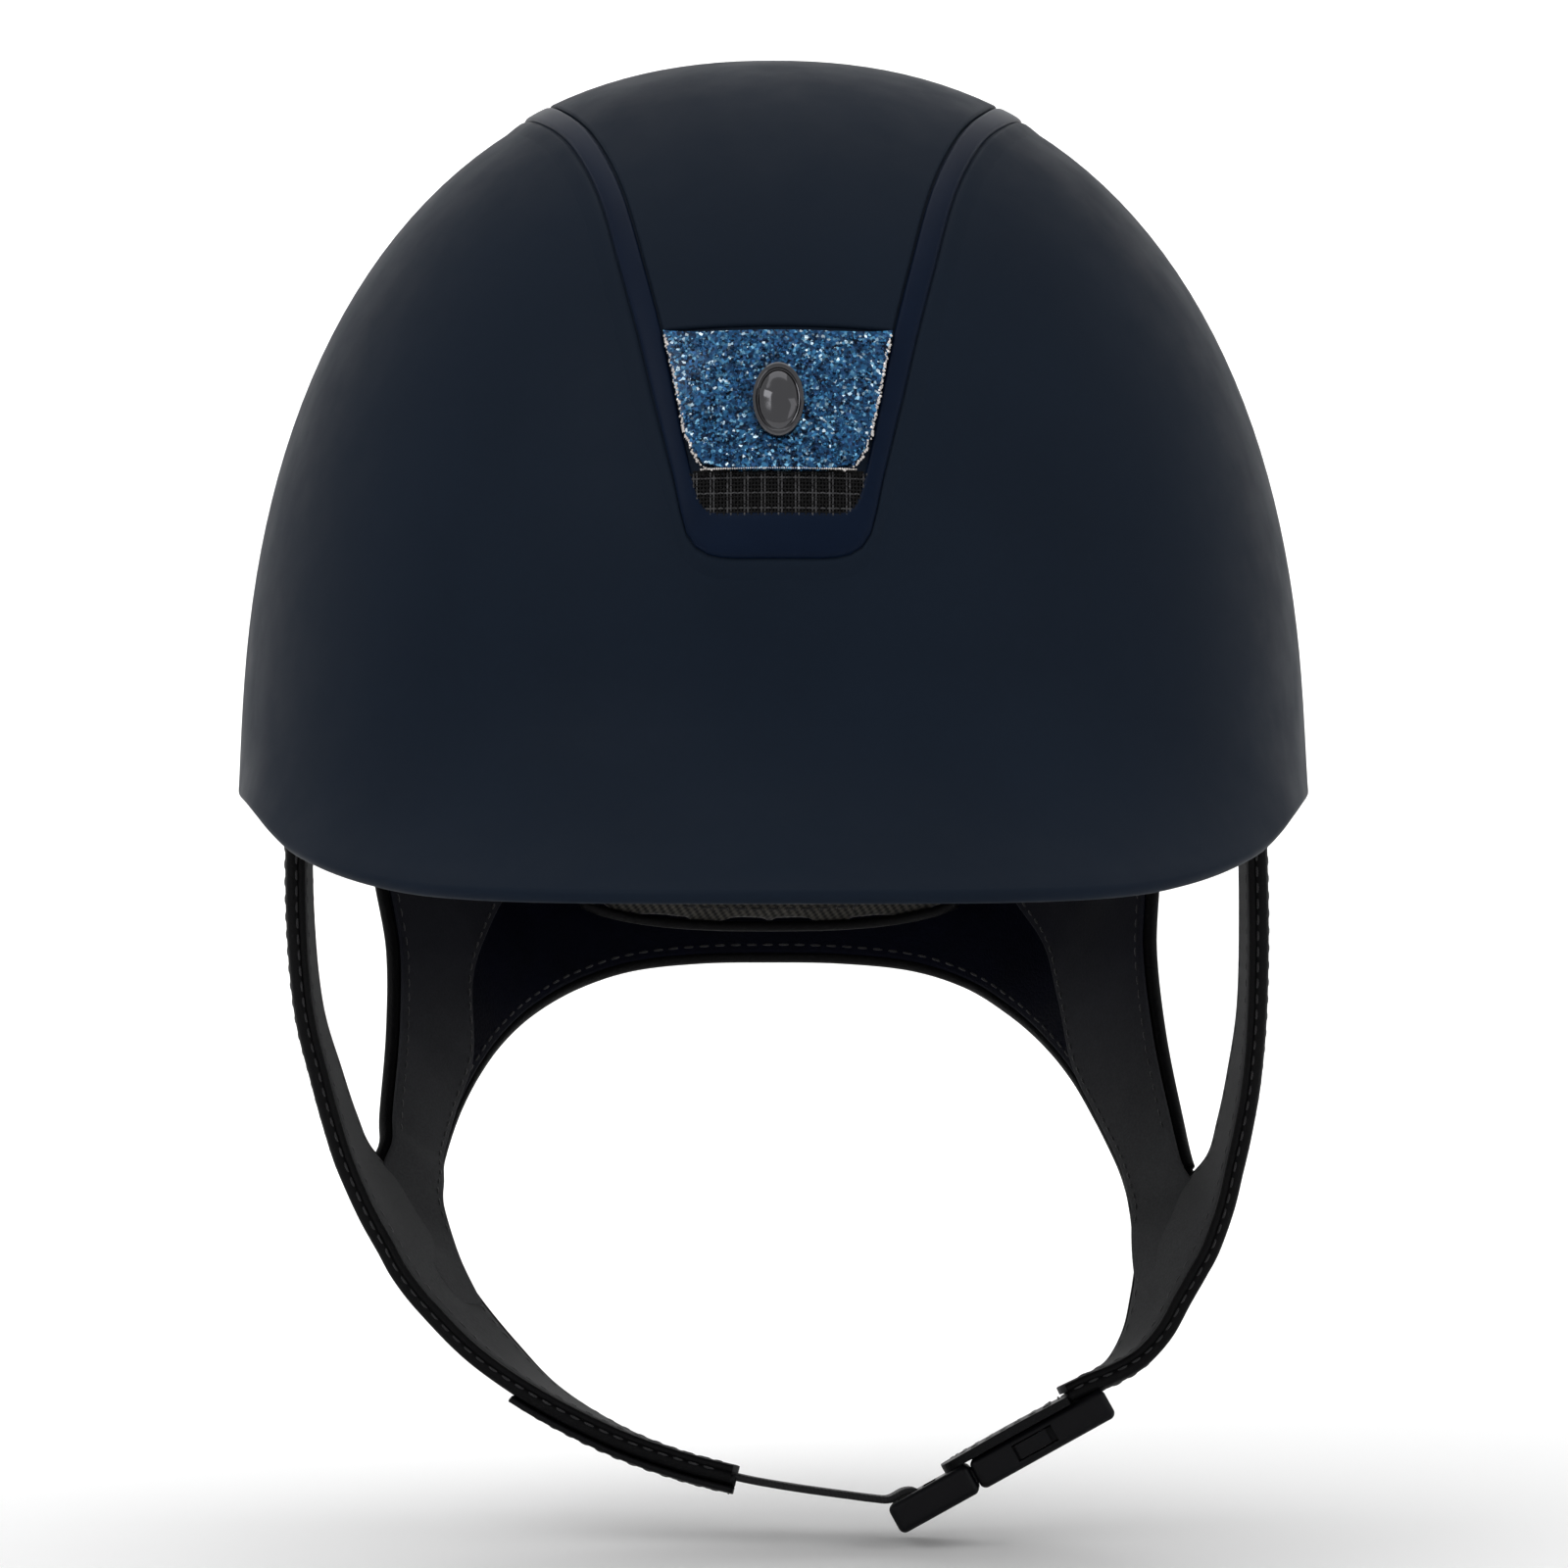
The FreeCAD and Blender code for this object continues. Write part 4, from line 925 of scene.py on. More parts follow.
def foam_depth(phi, z):
    """Depth of the foam's inner face, with air channels pressed into it."""
    depth = FOAM_DEPTH
    for middle in CHANNELS:
        off = abs((phi - middle + 180) % 360 - 180) * math.radians(1) * 95
        if middle in (0, 180):
            off = off - 4
        fade = 1 if z > 18 else max(z, 0) / 18
        depth -= CHANNEL_DEPTH * max(0.0, 1 - (max(off, 0) / 6.0) ** 2) ** 2 * fade
    return depth


def build_foam():
    columns = 216
    outer_cols, inner_cols, lips = [], [], []
    for i in range(columns):
        phi = 360 * i / columns
        bottom = rim_height(phi) + FOAM_LIFT
        heights = dome_heights(bottom, 8, 36)
        outer = [inside(phi, z, FOAM_GAP) for z in heights]
        inner = [inside(phi, z, foam_depth(phi, z)) for z in heights]
        a, b = outer[0], inner[0]
        lips.append([a.lerp(b, s) + DOWN * d for s, d in
                     ((0.04, 0.5), (0.12, 0.9), (0.35, 1.0), (0.65, 1.0), (0.88, 0.9), (0.96, 0.5))])
        outer_cols.append(outer)
        inner_cols.append(inner)
    rings = [list(r) for r in zip(*outer_cols)][::-1]
    rings += [list(r) for r in zip(*lips)]
    rings += [list(r) for r in zip(*inner_cols)]
    skin = closed_skin(Vector((0, 0, HEIGHT - FOAM_GAP)), rings, Vector((0, 0, HEIGHT - FOAM_DEPTH)))
    foam = new_object("foam_bowl", skin, FOAM, "helmet", 50)
    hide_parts("foam_liner")


def edge_ring(phi, radius, z):
    return Vector((radius * math.sin(math.radians(phi)), -radius * math.cos(math.radians(phi)), z))


PEAK_HALF_ANGLE = 46


def build_peak_lining():
    """Cloth under the peak with piping at its front edge."""
    top, low = [], []
    for i in range(81):
        phi = -PEAK_HALF_ANGLE + 2 * PEAK_HALF_ANGLE * i / 80
        rim = rim_height(phi)
        point = dome_point(phi, rim)
        out_r = math.hypot(point.x, point.y) - 4.4
        in_r = plan_radius(phi, FRONT) - 8.0
        row_t, row_l = [], []
        for j in range(17):
            s = j / 16
            r = out_r * (1 - s) + in_r * s
            z = rim + 0.4 * (1 - s) + 3.2 * s
            belly = -0.9 * math.sin(math.pi * s) ** 0.8
            row_l.append(edge_ring(phi, r, z + belly))
            row_t.append(edge_ring(phi, r, z + 1.2))
        top.append(row_t)
        low.append(row_l)
    lining = new_object("peak_cloth", closed_plate(top, low), PEAK_CLOTH, "helmet", 50)
    add_bevel(lining, 0.5, 2, 60)
    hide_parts("peak_lining")
    path = [p + Vector((0, 0, -0.3)) for p in (r[0] for r in low)]
    new_object("peak_piping", tube_mesh(path, 0.95, 10), EDGE, "helmet", 60)
    path = [r[2] + Vector((0, 0, -0.05)) for r in low]
    stitches = stitch_run(path, [DOWN] * len(path), 2.4, 1.0, 0.26, 0.1)
    new_object("peak_stitches", stitches, THREAD, "helmet", 60)


BINDING_START = 49


def build_binding():
    """Rubber trim round the rim behind the peak, stitched along its middle."""
    rings = []
    section = [(0.0, 0.9), (0.06, 0.2), (0.2, 0.0), (0.5, -0.1), (0.8, 0.0), (0.94, 0.3), (1.0, 1.0),
               (0.97, 1.9), (0.85, 2.5), (0.5, 2.6), (0.15, 2.6), (0.03, 2.0)]
    for i in range(181):
        phi = BINDING_START + (360 - 2 * BINDING_START) * i / 180
        rim = rim_height(phi)
        point = dome_point(phi, rim)
        out_r = math.hypot(point.x, point.y) - WALL - 0.7
        flat = dome_point(phi, rim, False)
        in_r = math.hypot(flat.x, flat.y) - 21.4
        rings.append([edge_ring(phi, out_r * (1 - s) + in_r * s, rim + 1.6 + h) for s, h in section])
    ends = [sum(rings[i], Vector()) / len(section) for i in (0, -1)]
    binding = new_object("rim_rubber", closed_skin(ends[0], rings, ends[1]), RUBBER, "helmet",
                         45)
    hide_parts("rim_binding")
    path = []
    for i in range(181):
        phi = BINDING_START + (360 - 2 * BINDING_START) * i / 180
        rim = rim_height(phi)
        flat = dome_point(phi, rim, False)
        in_r = math.hypot(flat.x, flat.y) - 14.0
        path.append(edge_ring(phi, in_r, rim + 1.52))
    stitches = stitch_run(path, [DOWN] * len(path), 2.6, 1.3, 0.28, 0.1)
    new_object("rim_stitches", stitches, THREAD_DARK, "helmet", 60)


build_foam()
build_peak_lining()
build_binding()


# ------------------------------------------------------------------ padded textiles
def pad_rings(middle, z_mid, half, z_half, out, deep, square=0.6, points=72):
    def ring(share, depth):
        row = []
        for i in range(points):
            a = 2 * math.pi * i / points
            c = math.copysign(abs(math.cos(a)) ** square, math.cos(a))
            s = math.copysign(abs(math.sin(a)) ** square, math.sin(a))
            row.append(inside(middle + half * share * c, z_mid + z_half * share * s, depth))
        return row
    shares = [0.15, 0.3, 0.45, 0.6, 0.72, 0.82, 0.9, 0.96]
    rings = [ring(s, out) for s in shares]
    rings.append(ring(1.0, (out + deep) / 2))
    rings += [ring(s, deep) for s in reversed(shares)]
    return closed_skin(inside(middle, z_mid, out), rings, inside(middle, z_mid, deep)), ring


def puff(obj, pressure, cap, voxel):
    """Swells a closed pad with a cloth simulation and keeps the result."""
    base = obj.modifiers.new("remesh", "REMESH")
    base.mode = "VOXEL"
    base.voxel_size = voxel * MM
    mesh = evaluated_copy(obj, obj.name)
    obj.modifiers.clear()
    old = obj.data
    obj.data = mesh
    bpy.data.meshes.remove(old)
    start = [v.co.copy() for v in mesh.vertices]
    cloth = obj.modifiers.new("cloth", "CLOTH")
    settings = cloth.settings
    settings.quality = 5
    settings.mass = 0.2
    settings.use_pressure = True
    settings.uniform_pressure_force = pressure
    settings.tension_stiffness = 12
    settings.compression_stiffness = 12
    settings.bending_stiffness = 0.4
    settings.effector_weights.gravity = 0
    cloth.collision_settings.use_self_collision = False
    scene = bpy.context.scene
    for frame_number in range(1, 21):
        scene.frame_set(frame_number)
    graph = bpy.context.evaluated_depsgraph_get()
    moved = [v.co.copy() for v in obj.evaluated_get(graph).data.vertices]
    obj.modifiers.remove(cloth)
    scene.frame_set(1)
    for vertex, a, b in zip(mesh.vertices, start, moved):
        step = b - a
        if step.length > cap * MM:
            step = step.normalized() * cap * MM
        vertex.co = a + step


def finish_pad(obj, mat):
    smooth = obj.modifiers.new("even", "SMOOTH")
    smooth.factor = 0.5
    smooth.iterations = 2
    subdivide = obj.modifiers.new("fine", "SUBSURF")
    subdivide.levels = subdivide.render_levels = 1
    mesh = evaluated_copy(obj, obj.name)
    obj.modifiers.clear()
    obj.data = mesh
    mesh.materials.clear()
    mesh.materials.append(mat)
    mesh.shade_smooth()


def settle_pad(obj, limit):
    """Keeps a swollen pad off the foam behind it."""
    for vertex in obj.data.vertices:
        p = vertex.co / MM
        value = level(p)
        radial = Vector((p.x, p.y, max(p.z, 0.0)))
        size = radial.length
        if size < 1:
            continue
        wall = (value + 1) ** (1 / PROFILE)
        gap = size / wall - size
        if gap < limit:
            vertex.co -= radial.normalized() * (limit - gap) * MM


CROWN_TOP, CROWN_LOW = 23.8, 29.6


def build_pads():
    """Five pads: brow, two sides, nape and crown, each puffed and piped; all but the crown stitched."""
    specs = [("brow_cushion", "brow_pad", 0, 12, 46, 23, 23.6, 30.0, 0.6),
             ("side_cushion_right", "side_pad_right", -90, 36, 34, 26, 23.6, 30.0, 0.6),
             ("side_cushion_left", "side_pad_left", 90, 36, 34, 26, 23.6, 30.0, 0.6),
             ("nape_cushion", "nape_pad", 180, 4, 47, 31.5, 27.9, 34.6, 0.82)]
    body = "helmet"
    for name, node_name, middle, z_mid, half, z_half, out, deep, square in specs:
        skin, ring = pad_rings(middle, z_mid, half, z_half * 0.985, out + 1.2, deep - 1.0, square)
        obj = new_object(name, skin, TWILL, body, 180)
        puff(obj, 4.0, 4.0, 2.4)
        settle_pad(obj, out - 0.3)
        finish_pad(obj, TWILL)
        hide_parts(node_name)
        path = ring(1.0, (out + deep) / 2 + 0.6)
        piping = tube_mesh(path, 1.15, 10, closed=True)
        new_object(name + "_piping", piping, EDGE, body, 60)
        inner = ring(0.88, deep + 1.2)
        inner.append(inner[0])
        normals = [(Vector((0, 0, 20)) - p).normalized() for p in inner]
        stitches = stitch_run(inner, normals, 2.6, 1.1, 0.3, 0.35)
        new_object(name + "_stitches", stitches, THREAD, body, 60)
    rings = []
    steps = (88, 86, 84, 81, 78, 75, 73)
    for angle, depth in ([(a, CROWN_TOP) for a in steps] + [(71.6, 26.6)]
                         + [(a, CROWN_LOW) for a in reversed(steps)]):
        a = math.radians(angle)
        scale = (math.cos(a) ** PROFILE + math.sin(a) ** PROFILE) ** (-1 / PROFILE)
        z = HEIGHT * math.sin(a) * scale
        rings.append([inside(360 * i / 72, z, depth) for i in range(72)])
    skin = closed_skin(Vector((0, 0, HEIGHT - CROWN_TOP)), rings, Vector((0, 0, HEIGHT - CROWN_LOW)))
    crown = new_object("crown_cushion_pad", skin, TWILL, "crown_cushion", 180)
    puff(crown, 4.0, 4.0, 2.8)
    for vertex in crown.data.vertices:
        vertex.co.z = min(vertex.co.z, (HEIGHT - 23.7) * MM)
    finish_pad(crown, TWILL)
    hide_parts("crown_pad")
    edge = [p + Vector((0, 0, -0.3)) for p in rings[7]]
    piping = tube_mesh(edge, 1.1, 10, closed=True)
    new_object("crown_piping", piping, EDGE, "crown_cushion", 60)


build_pads()

# ------------------------------------------------------------------ leather harness
# A station is the front and the rear edge of a strap, on its middle layer, from the shell down.
STRAP_RIGHT = [((-95.0, -26, 3.4), (-95.0, -6, 3.4)), ((-95.0, -25, -22), (-94.6, -5, -22)),
               ((-93.7, -22, -41), (-92.9, -2, -41)), ((-90.8, -18, -55), (-89.2, 3, -55)),
               ((-88.3, -15.5, -65), (-86.4, 6.4, -64.2)), ((-85.7, -15, -73), (-83.4, 11.0, -71.6)),
               ((-81.8, -14.6, -82), (-76.2, 15.6, -79.0)),
               ((-77.9, -14.2, -89.2), (-68.5, 14.6, -88.6)),
               ((-75.0, -13.6, -94.5), (-65.6, 11.6, -95.0)),
               ((-70.0, -12.5, -101), (-61.1, 9.5, -102)), ((-60.2, -11, -111), (-53.3, 9.4, -111.6)),
               ((-47.4, -10, -119.8), (-44.4, 10, -121)), ((-32.4, -10, -127.4), (-31.2, 10, -129.4)),
               ((-19.2, -10, -132.2), (-19.0, 10, -134.5)), ((-7.2, -10, -135.4), (-7.2, 10, -137.6))]
STRAP_LEFT = [((95.8, -26, 3.4), (95.8, -6, 3.4)), ((96.6, -25, -22), (96.2, -5, -22)),
              ((96.6, -22, -41), (96.0, -2, -41)), ((95.9, -18, -55), (94.4, 3, -55)),
              ((94.5, -15.5, -65), (92.6, 6.0, -65)), ((92.8, -15, -73), (90.4, 8.6, -73.0)),
              ((91.0, -14.6, -81), (84.4, 13.6, -80.2)), ((88.2, -14.2, -89.2), (77.2, 15.0, -88.6)),
              ((85.6, -13.6, -94.2), (76.0, 12.2, -95.2)), ((82.6, -12.6, -99.6), (75.0, 10.2, -101.0)),
              ((79.0, -11.4, -106.3), (73.6, 10, -107.8)),
              ((74.4, -10.8, -111.4), (71.0, 10.2, -113.6)),
              ((69.0, -10.6, -114.6), (68.0, 10.4, -117.0)),
              ((64.0, -10.5, -116.6), (64.0, 10.5, -119.2)),
              ((58.6, -10.5, -119.2), (59.0, 10.5, -121.6))]
YOKE_RIGHT = [((-66.0, -2.0, -102.4), (-60.6, 6.6, -103.6)),
              ((-71.2, -1.0, -94.5), (-65.2, 11.2, -95.2)), ((-75.9, 4.0, -85.5), (-67.8, 14.6, -87.6)),
              ((-81.4, 9.0, -76.4), (-68.9, 19.0, -82.0)), ((-79.9, 14.2, -69.6), (-69.1, 24.4, -78.6)),
              ((-80.2, 20, -64), (-69.2, 30.5, -74.6)), ((-79.4, 31, -47), (-66.8, 42, -66)),
              ((-79.8, 38, -30), (-62.8, 52, -57.6)), ((-83.0, 44, -11), (-57.6, 62.5, -50.4)),
              ((-78.4, 57, -6), (-50.6, 74, -44.4)), ((-67.0, 73, -8), (-41.0, 85.5, -39.4)),
              ((-50.0, 88, -10), (-29.5, 93, -36)), ((-26.0, 98.5, -11), (-15.0, 98.2, -34.6))]
YOKE_LEFT = [((80.4, -2.0, -101.4), (77.0, 6.4, -102.4)), ((81.9, -1.0, -94.5), (75.9, 11.8, -95.2)),
             ((84.5, 3.0, -86.5), (75.2, 14.8, -88.0)), ((88.0, 8.2, -79.4), (74.8, 18.4, -84.0)),
             ((85.8, 12.4, -74.0), (74.4, 22.8, -80.4)), ((84.2, 20, -65), (72.9, 30.5, -75)),
             ((81.5, 31, -48), (69.2, 42, -66.5)), ((80.0, 38, -30), (64.6, 52, -58)),
             ((81.0, 44, -11), (59.0, 62.5, -51)), ((78.0, 57, -6), (52.0, 74, -45)),
             ((67.0, 73, -8), (43.0, 85.5, -39.6)), ((50.0, 88, -10), (31.0, 93, -36)),
             ((26.0, 98.5, -11), (15.6, 98.2, -34.6))]
FACING_RIGHT = [0.97, 0.97, 0.97, 0.96, 0.95, 0.93, 0.92, 0.88, 0.70, 0.58, 0.37, 0.10]
FACING_LEFT = [0.97, 0.97, 0.97, 0.96, 0.95, 0.94, 0.95, 0.93, 0.80, 0.66, 0.48, 0.10]
CROTCH = -76.0
STRAP_LEATHER, STRAP_LINING = (-0.3, 2.0), (-2.2, -0.5)
YOKE_LEATHER, YOKE_LINING, YOKE_FACING = (-0.5, 1.3), (-2.1, -0.6), (-2.75, -1.9)
YOKE_BACK = ((0.0, 101.4, -12), (0.0, 99.4, -34.4))


def harness_object(name, parts, mat, sharp=60):
    obj = new_object(name, parts, mat, None, sharp)
    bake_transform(obj)
    return obj


def inset_path(line, from_b, distance, lift, first=0, last=None):
    path, normals = [], []
    last = len(line) if last is None else last
    for i in range(first, last):
        _, across, n, _, _ = strap_frame(line, i)
        a, b = line[i]
        p = b - across * distance if from_b else a + across * distance
        path.append(p + n * lift)
        normals.append(n)
    return path, normals


def build_straps():
    for side, stations in (("right", STRAP_RIGHT), ("left", STRAP_LEFT)):
        line = smooth_stations(stations, 140)
        last = len(line)
        band = harness_object("strap_leather_" + side, strap_mesh(line, *STRAP_LEATHER, 0.3, 0.25),
                              LEATHER)
        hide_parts("front_strap_" + side, "junction_" + side, "lower_strap_" + side)
        lining = harness_object("strap_lining_" + side, strap_mesh(line, *STRAP_LINING, 1.0), LINING)
        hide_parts("front_strap_" + side + "_lining", "junction_" + side + "_lining",
                    "lower_strap_" + side + "_lining")
        edges, rows = [], []
        for from_b in (False, True):
            path, normals = inset_path(line, from_b, 0.45, 0.45, 1, last - 1)
            edges.append(tube_mesh(path, 1.3, 12))
            path, _ = inset_path(line, from_b, 0.55, -1.2, 1, last - 1)
            edges.append(tube_mesh(path, 0.9, 12))
            path, normals = inset_path(line, from_b, 3.4, 2.15, 2, last - 2)
            rows.append(stitch_run(path, normals, 2.5, 1.0, 0.24, 0.0))
            path, normals = inset_path(line, from_b, 3.4, -2.2, 2, last - 2)
            rows.append(stitch_run(path, [-n for n in normals], 2.5, 1.0, 0.22, -0.02))
        path, normals = inset_path(line, False, -0.55, -0.35, 2, last - 2)
        outward = [-strap_frame(line, i)[1] for i in range(2, last - 2)]
        rows.append(stitch_run(path, outward, 2.3, 0.9, 0.24, 0.0))
        harness_object("strap_binding_" + side, merge(edges), EDGE)
        harness_object("strap_stitches_" + side, merge(rows), THREAD)


def facing_stations(stations, shares):
    """Front part of the yoke's skin side, from near its front edge to a share of its width."""
    out = []
    for (a, b), share in zip(stations, shares):
        a, b = Vector(a), Vector(b)
        out.append((tuple(a.lerp(b, 0.03)), tuple(a.lerp(b, share))))
    return out


def build_yoke():
    stations = YOKE_RIGHT + [YOKE_BACK] + list(reversed(YOKE_LEFT))
    line = smooth_stations(stations, 240)
    last = len(line)
    outer = harness_object("yoke_leather", strap_mesh(line, *YOKE_LEATHER, 0.3, 0.2, 15), LEATHER)
    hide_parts("nape_yoke")
    inner = harness_object("yoke_lining", strap_mesh(line, *YOKE_LINING, 1.2, 0.0, 15), LEATHER_IN)
    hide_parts("nape_yoke_lining")
    above = [i for i in range(last) if line[i][0].z > CROTCH]
    edges = []
    for from_b, first, end in ((False, above[0], above[-1]), (True, 1, last - 1)):
        path, _ = inset_path(line, from_b, 0.5, -0.4, first, end)
        edges.append(tube_mesh(path, 1.4, 12))
    harness_object("yoke_binding", merge(edges), EDGE)
    rows = []
    for from_b, first, end in ((False, above[0], above[-1]), (True, 2, last - 2)):
        path, normals = inset_path(line, from_b, 3.2, 1.45, first, end)
        rows.append(stitch_run(path, normals, 2.5, 1.0, 0.24, 0.0))
    path, normals = inset_path(line, True, 3.0, -2.15, 2, last - 2)
    rows.append(stitch_run(path, [-n for n in normals], 2.5, 1.0, 0.24, 0.0))
    harness_object("yoke_stitches", merge(rows), THREAD)
    facing, seams = [], []
    for stations, shares in ((YOKE_RIGHT, FACING_RIGHT), (YOKE_LEFT, FACING_LEFT)):
        strip = smooth_stations(facing_stations(stations, shares), 90)
        facing.append(strap_mesh(strip, *YOKE_FACING, 0.0, 0.0, 13))
        path, normals = inset_path(strip, True, 1.5, -2.75, 10, 86)
        seams.append(stitch_run(path, [-n for n in normals], 2.2, 0.9, 0.28, 0.0))
        path, normals = inset_path(strip, False, 2.2, -2.75, 24, 86)
        seams.append(stitch_run(path, [-n for n in normals], 2.2, 0.9, 0.24, 0.0))
    harness_object("yoke_facing", merge(facing), FACING)
    harness_object("yoke_seam_stitches", merge(seams), THREAD)


def build_sleeve():
    line = smooth_stations(STRAP_RIGHT[7:], 90)
    first = 40
    rings = strap_mesh(line[first:], 2.2, 3.5, -0.3, 0.2)
    sleeve = new_object("sleeve_leather", rings, LEATHER, "chin_loop", 60)
    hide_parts("adjusting_sleeve")
    rows = []
    for from_b in (False, True):
        path, normals = inset_path(line, from_b, 2.4, 3.62, first + 1, len(line) - 1)
        rows.append(stitch_run(path, normals, 2.5, 1.0, 0.24, 0.0))
    for i in (first + 1, len(line) - 2):
        n = strap_frame(line, i)[2]
        a, b = line[i]
        path = [a.lerp(b, 0.12 + 0.76 * k / 12) + n * 3.66 for k in range(13)]
        rows.append(stitch_run(path, [n] * 13, 2.4, 0.9, 0.24, 0.0))
    new_object("sleeve_stitches", merge(rows), THREAD, "chin_loop", 60)


TILT, ROLL = math.radians(29.0), math.radians(6.0)
ALONG = Vector((math.cos(TILT), 0, math.sin(TILT)))
FLAT = Vector((-math.sin(TILT), 0, math.cos(TILT)))
ACROSS = Vector((0, 1, 0)) * math.cos(ROLL) - FLAT * math.sin(ROLL)
THICK = ALONG.cross(ACROSS)
BUCKLE = Vector((46.3, 0.0, -133.4))


def build_webbing():
    """Chin webbing out of the sleeve, over the clip's first bar and down its slot."""
    path = [(-16.0, -134.4), (-6.3, -136.8), (0.5, -138.1), (7.5, -139.2), (14.0, -140.1),
            (20.0, -140.9)]
    for along, up in ((-23.6, 4.3), (-20.0, 4.1), (-18.0, 2.6), (-17.7, -1.5)):
        there = BUCKLE + ALONG * along + FLAT * up
        path.append((there.x, there.z))
    stations = [((x, -9.0, z + 0.95), (x, 9.0, z - 0.95)) for x, z in path]
    line = smooth_stations(stations, 80)
    strip = strap_mesh(line, -0.75, 0.75)
    web = new_object("webbing_strip", strip, WEB, None, 60)
    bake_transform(web)
    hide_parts("chin_webbing")


def buckle_point(length, width, thick):
    return BUCKLE + ALONG * length + ACROSS * width + THICK * thick


def build_loop():
    path = [(20.3, -3.0), (20.3, 0.6), (20.4, 2.6), (21.2, 3.95), (23.0, 4.2), (27.0, 4.1)]
    centre = smooth_path([buckle_point(a, 0, t) for a, t in path], 40)
    line = [(p - ACROSS * 8.5, p + ACROSS * 8.5) for p in centre]
    strip = strap_mesh(line, -0.7, 0.7)
    loop = new_object("loop_webbing", strip, WEB, "chin_loop", 60)
    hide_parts("socket_loop")


GUARD_TIP, GUARD_ROOT, GUARD_HALF = -11.0, 18.0, 13.3


def build_guard():
    """Leather flap over the skin side of the buckle, round at its free end."""
    top, low = [], []
    for i in range(41):
        l = GUARD_TIP + (GUARD_ROOT - GUARD_TIP) * i / 40
        half = GUARD_HALF
        if l < -2.0:
            t = (-2.0 - l) / 9.0
            half = 4.5 + 8.8 * math.sqrt(max(1 - t * t, 0.0))
        row_t, row_l = [], []
        for j in range(21):
            u = -1 + 2 * j / 20
            sag = 0.25 * math.sin(math.pi * i / 40)
            crown = 0.35 * (1 - abs(u) ** 3)
            row_t.append(buckle_point(l, half * u, 5.0 + crown + sag))
            row_l.append(buckle_point(l, half * u, 3.3 + sag * 0.3))
        top.append(row_t)
        low.append(row_l)
    guard = new_object("guard_leather", closed_plate(top, low), LEATHER, None, 50)
    add_bevel(guard, 0.7, 3, 50)
    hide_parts("chin_guard")
    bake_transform(guard)
    straight = [16.0 - 18.0 * k / 59 for k in range(60)]
    path = [buckle_point(l, 11.0, 5.32) for l in straight]
    for k in range(1, 24):
        a = math.pi * k / 24
        path.append(buckle_point(-2.0 - 6.6 * math.sin(a), 11.0 * math.cos(a), 5.32))
    path += [buckle_point(l, -11.0, 5.32) for l in reversed(straight)]
    rows = [stitch_run(path, [THICK] * len(path), 2.4, 0.9, 0.24, 0.0)]
    for l in (14.4, 16.4):
        path = [buckle_point(l, -9.5 + 19 * k / 20, 5.48) for k in range(21)]
        rows.append(stitch_run(path, [THICK] * 21, 2.3, 0.8, 0.24, 0.0))
    stitches = new_object("guard_stitches", merge(rows), THREAD, None, 60)
    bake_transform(stitches)


build_straps()
build_yoke()
build_sleeve()
build_webbing()
build_loop()
build_guard()

CAD_LOOKS = {"clip_base": PLASTIC, "clip_socket": PLASTIC, "prong_front": PLASTIC,
             "prong_rear": PLASTIC, "badge_pin": STEEL, "strap_anchor_left": STEEL,
             "strap_anchor_right": STEEL}
for node_name, mat in CAD_LOOKS.items():
    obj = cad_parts[node_name]
    if obj.material_slots:
        for material_slot in obj.material_slots:
            material_slot.material = mat
    else:
        obj.data.materials.append(mat)

# ------------------------------------------------------------------ studio
GROUND = -0.1500
WORLD_LIGHT = 0.75
LENS, SENSOR = 135.8, 36.0
CAMERA_PLACE, TURN = (-0.0107, -1.2, 0.004), math.radians(0.62)


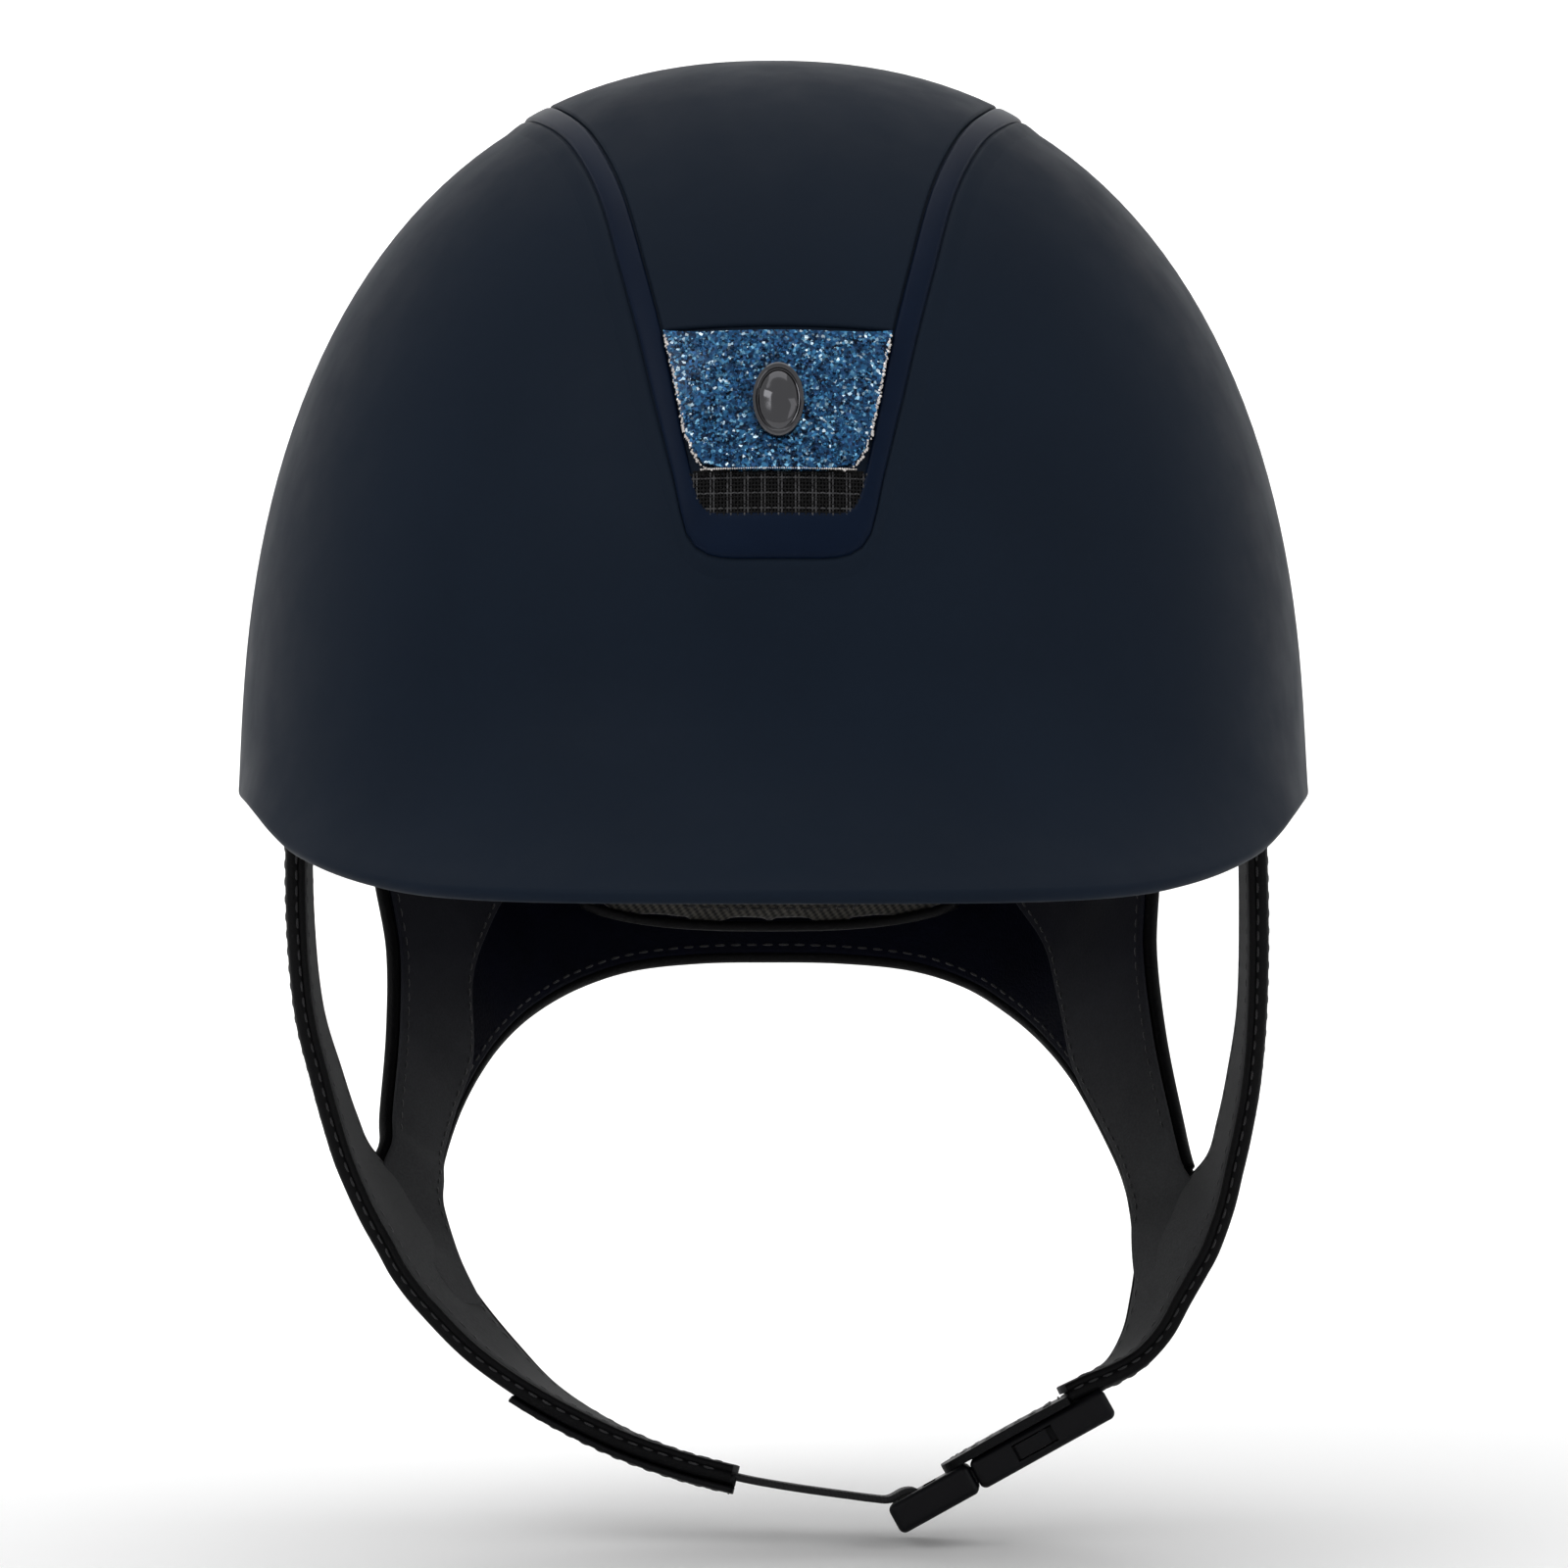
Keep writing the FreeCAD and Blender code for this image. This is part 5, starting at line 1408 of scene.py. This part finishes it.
def build_stage():
    back, front, side, height, bend = 3.2, -4.0, 5.0, 4.0, 0.9
    rows = [(front, GROUND), (0.0, GROUND), (back - bend, GROUND)]
    for k in range(1, 13):
        a = math.pi / 2 * k / 12
        rows.append((back - bend + bend * math.sin(a), GROUND + bend * (1 - math.cos(a))))
    rows.append((back, height))
    verts, faces = [], []
    for y, z in rows:
        verts += [(-side, y, z), (side, y, z)]
    for i in range(len(rows) - 1):
        faces.append((2 * i, 2 * i + 1, 2 * i + 3, 2 * i + 2))
    mesh = bpy.data.meshes.new("studio_floor")
    mesh.from_pydata(verts, [], faces)
    mesh.shade_smooth()
    mesh.materials.append(floor_material())
    floor = bpy.data.objects.new("studio_floor", mesh)
    bpy.context.scene.collection.objects.link(floor)


def area_light(name, place, target, size, power):
    data = bpy.data.lights.new(name, "AREA")
    data.shape = "RECTANGLE"
    data.size, data.size_y = size
    data.energy = power
    light = bpy.data.objects.new(name, data)
    light.location = place
    light.rotation_euler = (Vector(target) - Vector(place)).to_track_quat("-Z", "Y").to_euler()
    bpy.context.scene.collection.objects.link(light)


build_stage()
area_light("key", (-1.3, -1.5, 1.7), (0, 0, 0), (1.4, 1.4), 18)
area_light("fill", (1.7, -1.2, 0.9), (0, 0, 0), (1.6, 1.6), 6)
area_light("top", (0.0, 0.3, 2.2), (0, 0, 0), (2.0, 2.0), 12)
area_light("wash", (0.0, 1.0, 1.6), (0.0, 3.2, 0.2), (3.0, 1.0), 40)

world = bpy.data.worlds.new("studio")
world.use_nodes = True
world.node_tree.nodes["Background"].inputs["Color"].default_value = (1, 1, 1, 1)
world.node_tree.nodes["Background"].inputs["Strength"].default_value = WORLD_LIGHT
bpy.context.scene.world = world
bpy.context.scene.view_settings.view_transform = "Standard"

camera_data = bpy.data.cameras.new("camera")
camera_data.lens = LENS
camera_data.sensor_width = SENSOR
camera = bpy.data.objects.new("camera", camera_data)
camera.location = CAMERA_PLACE
camera.rotation_euler = (math.pi / 2, 0.0, -TURN)
bpy.context.scene.collection.objects.link(camera)
bpy.context.scene.camera = camera
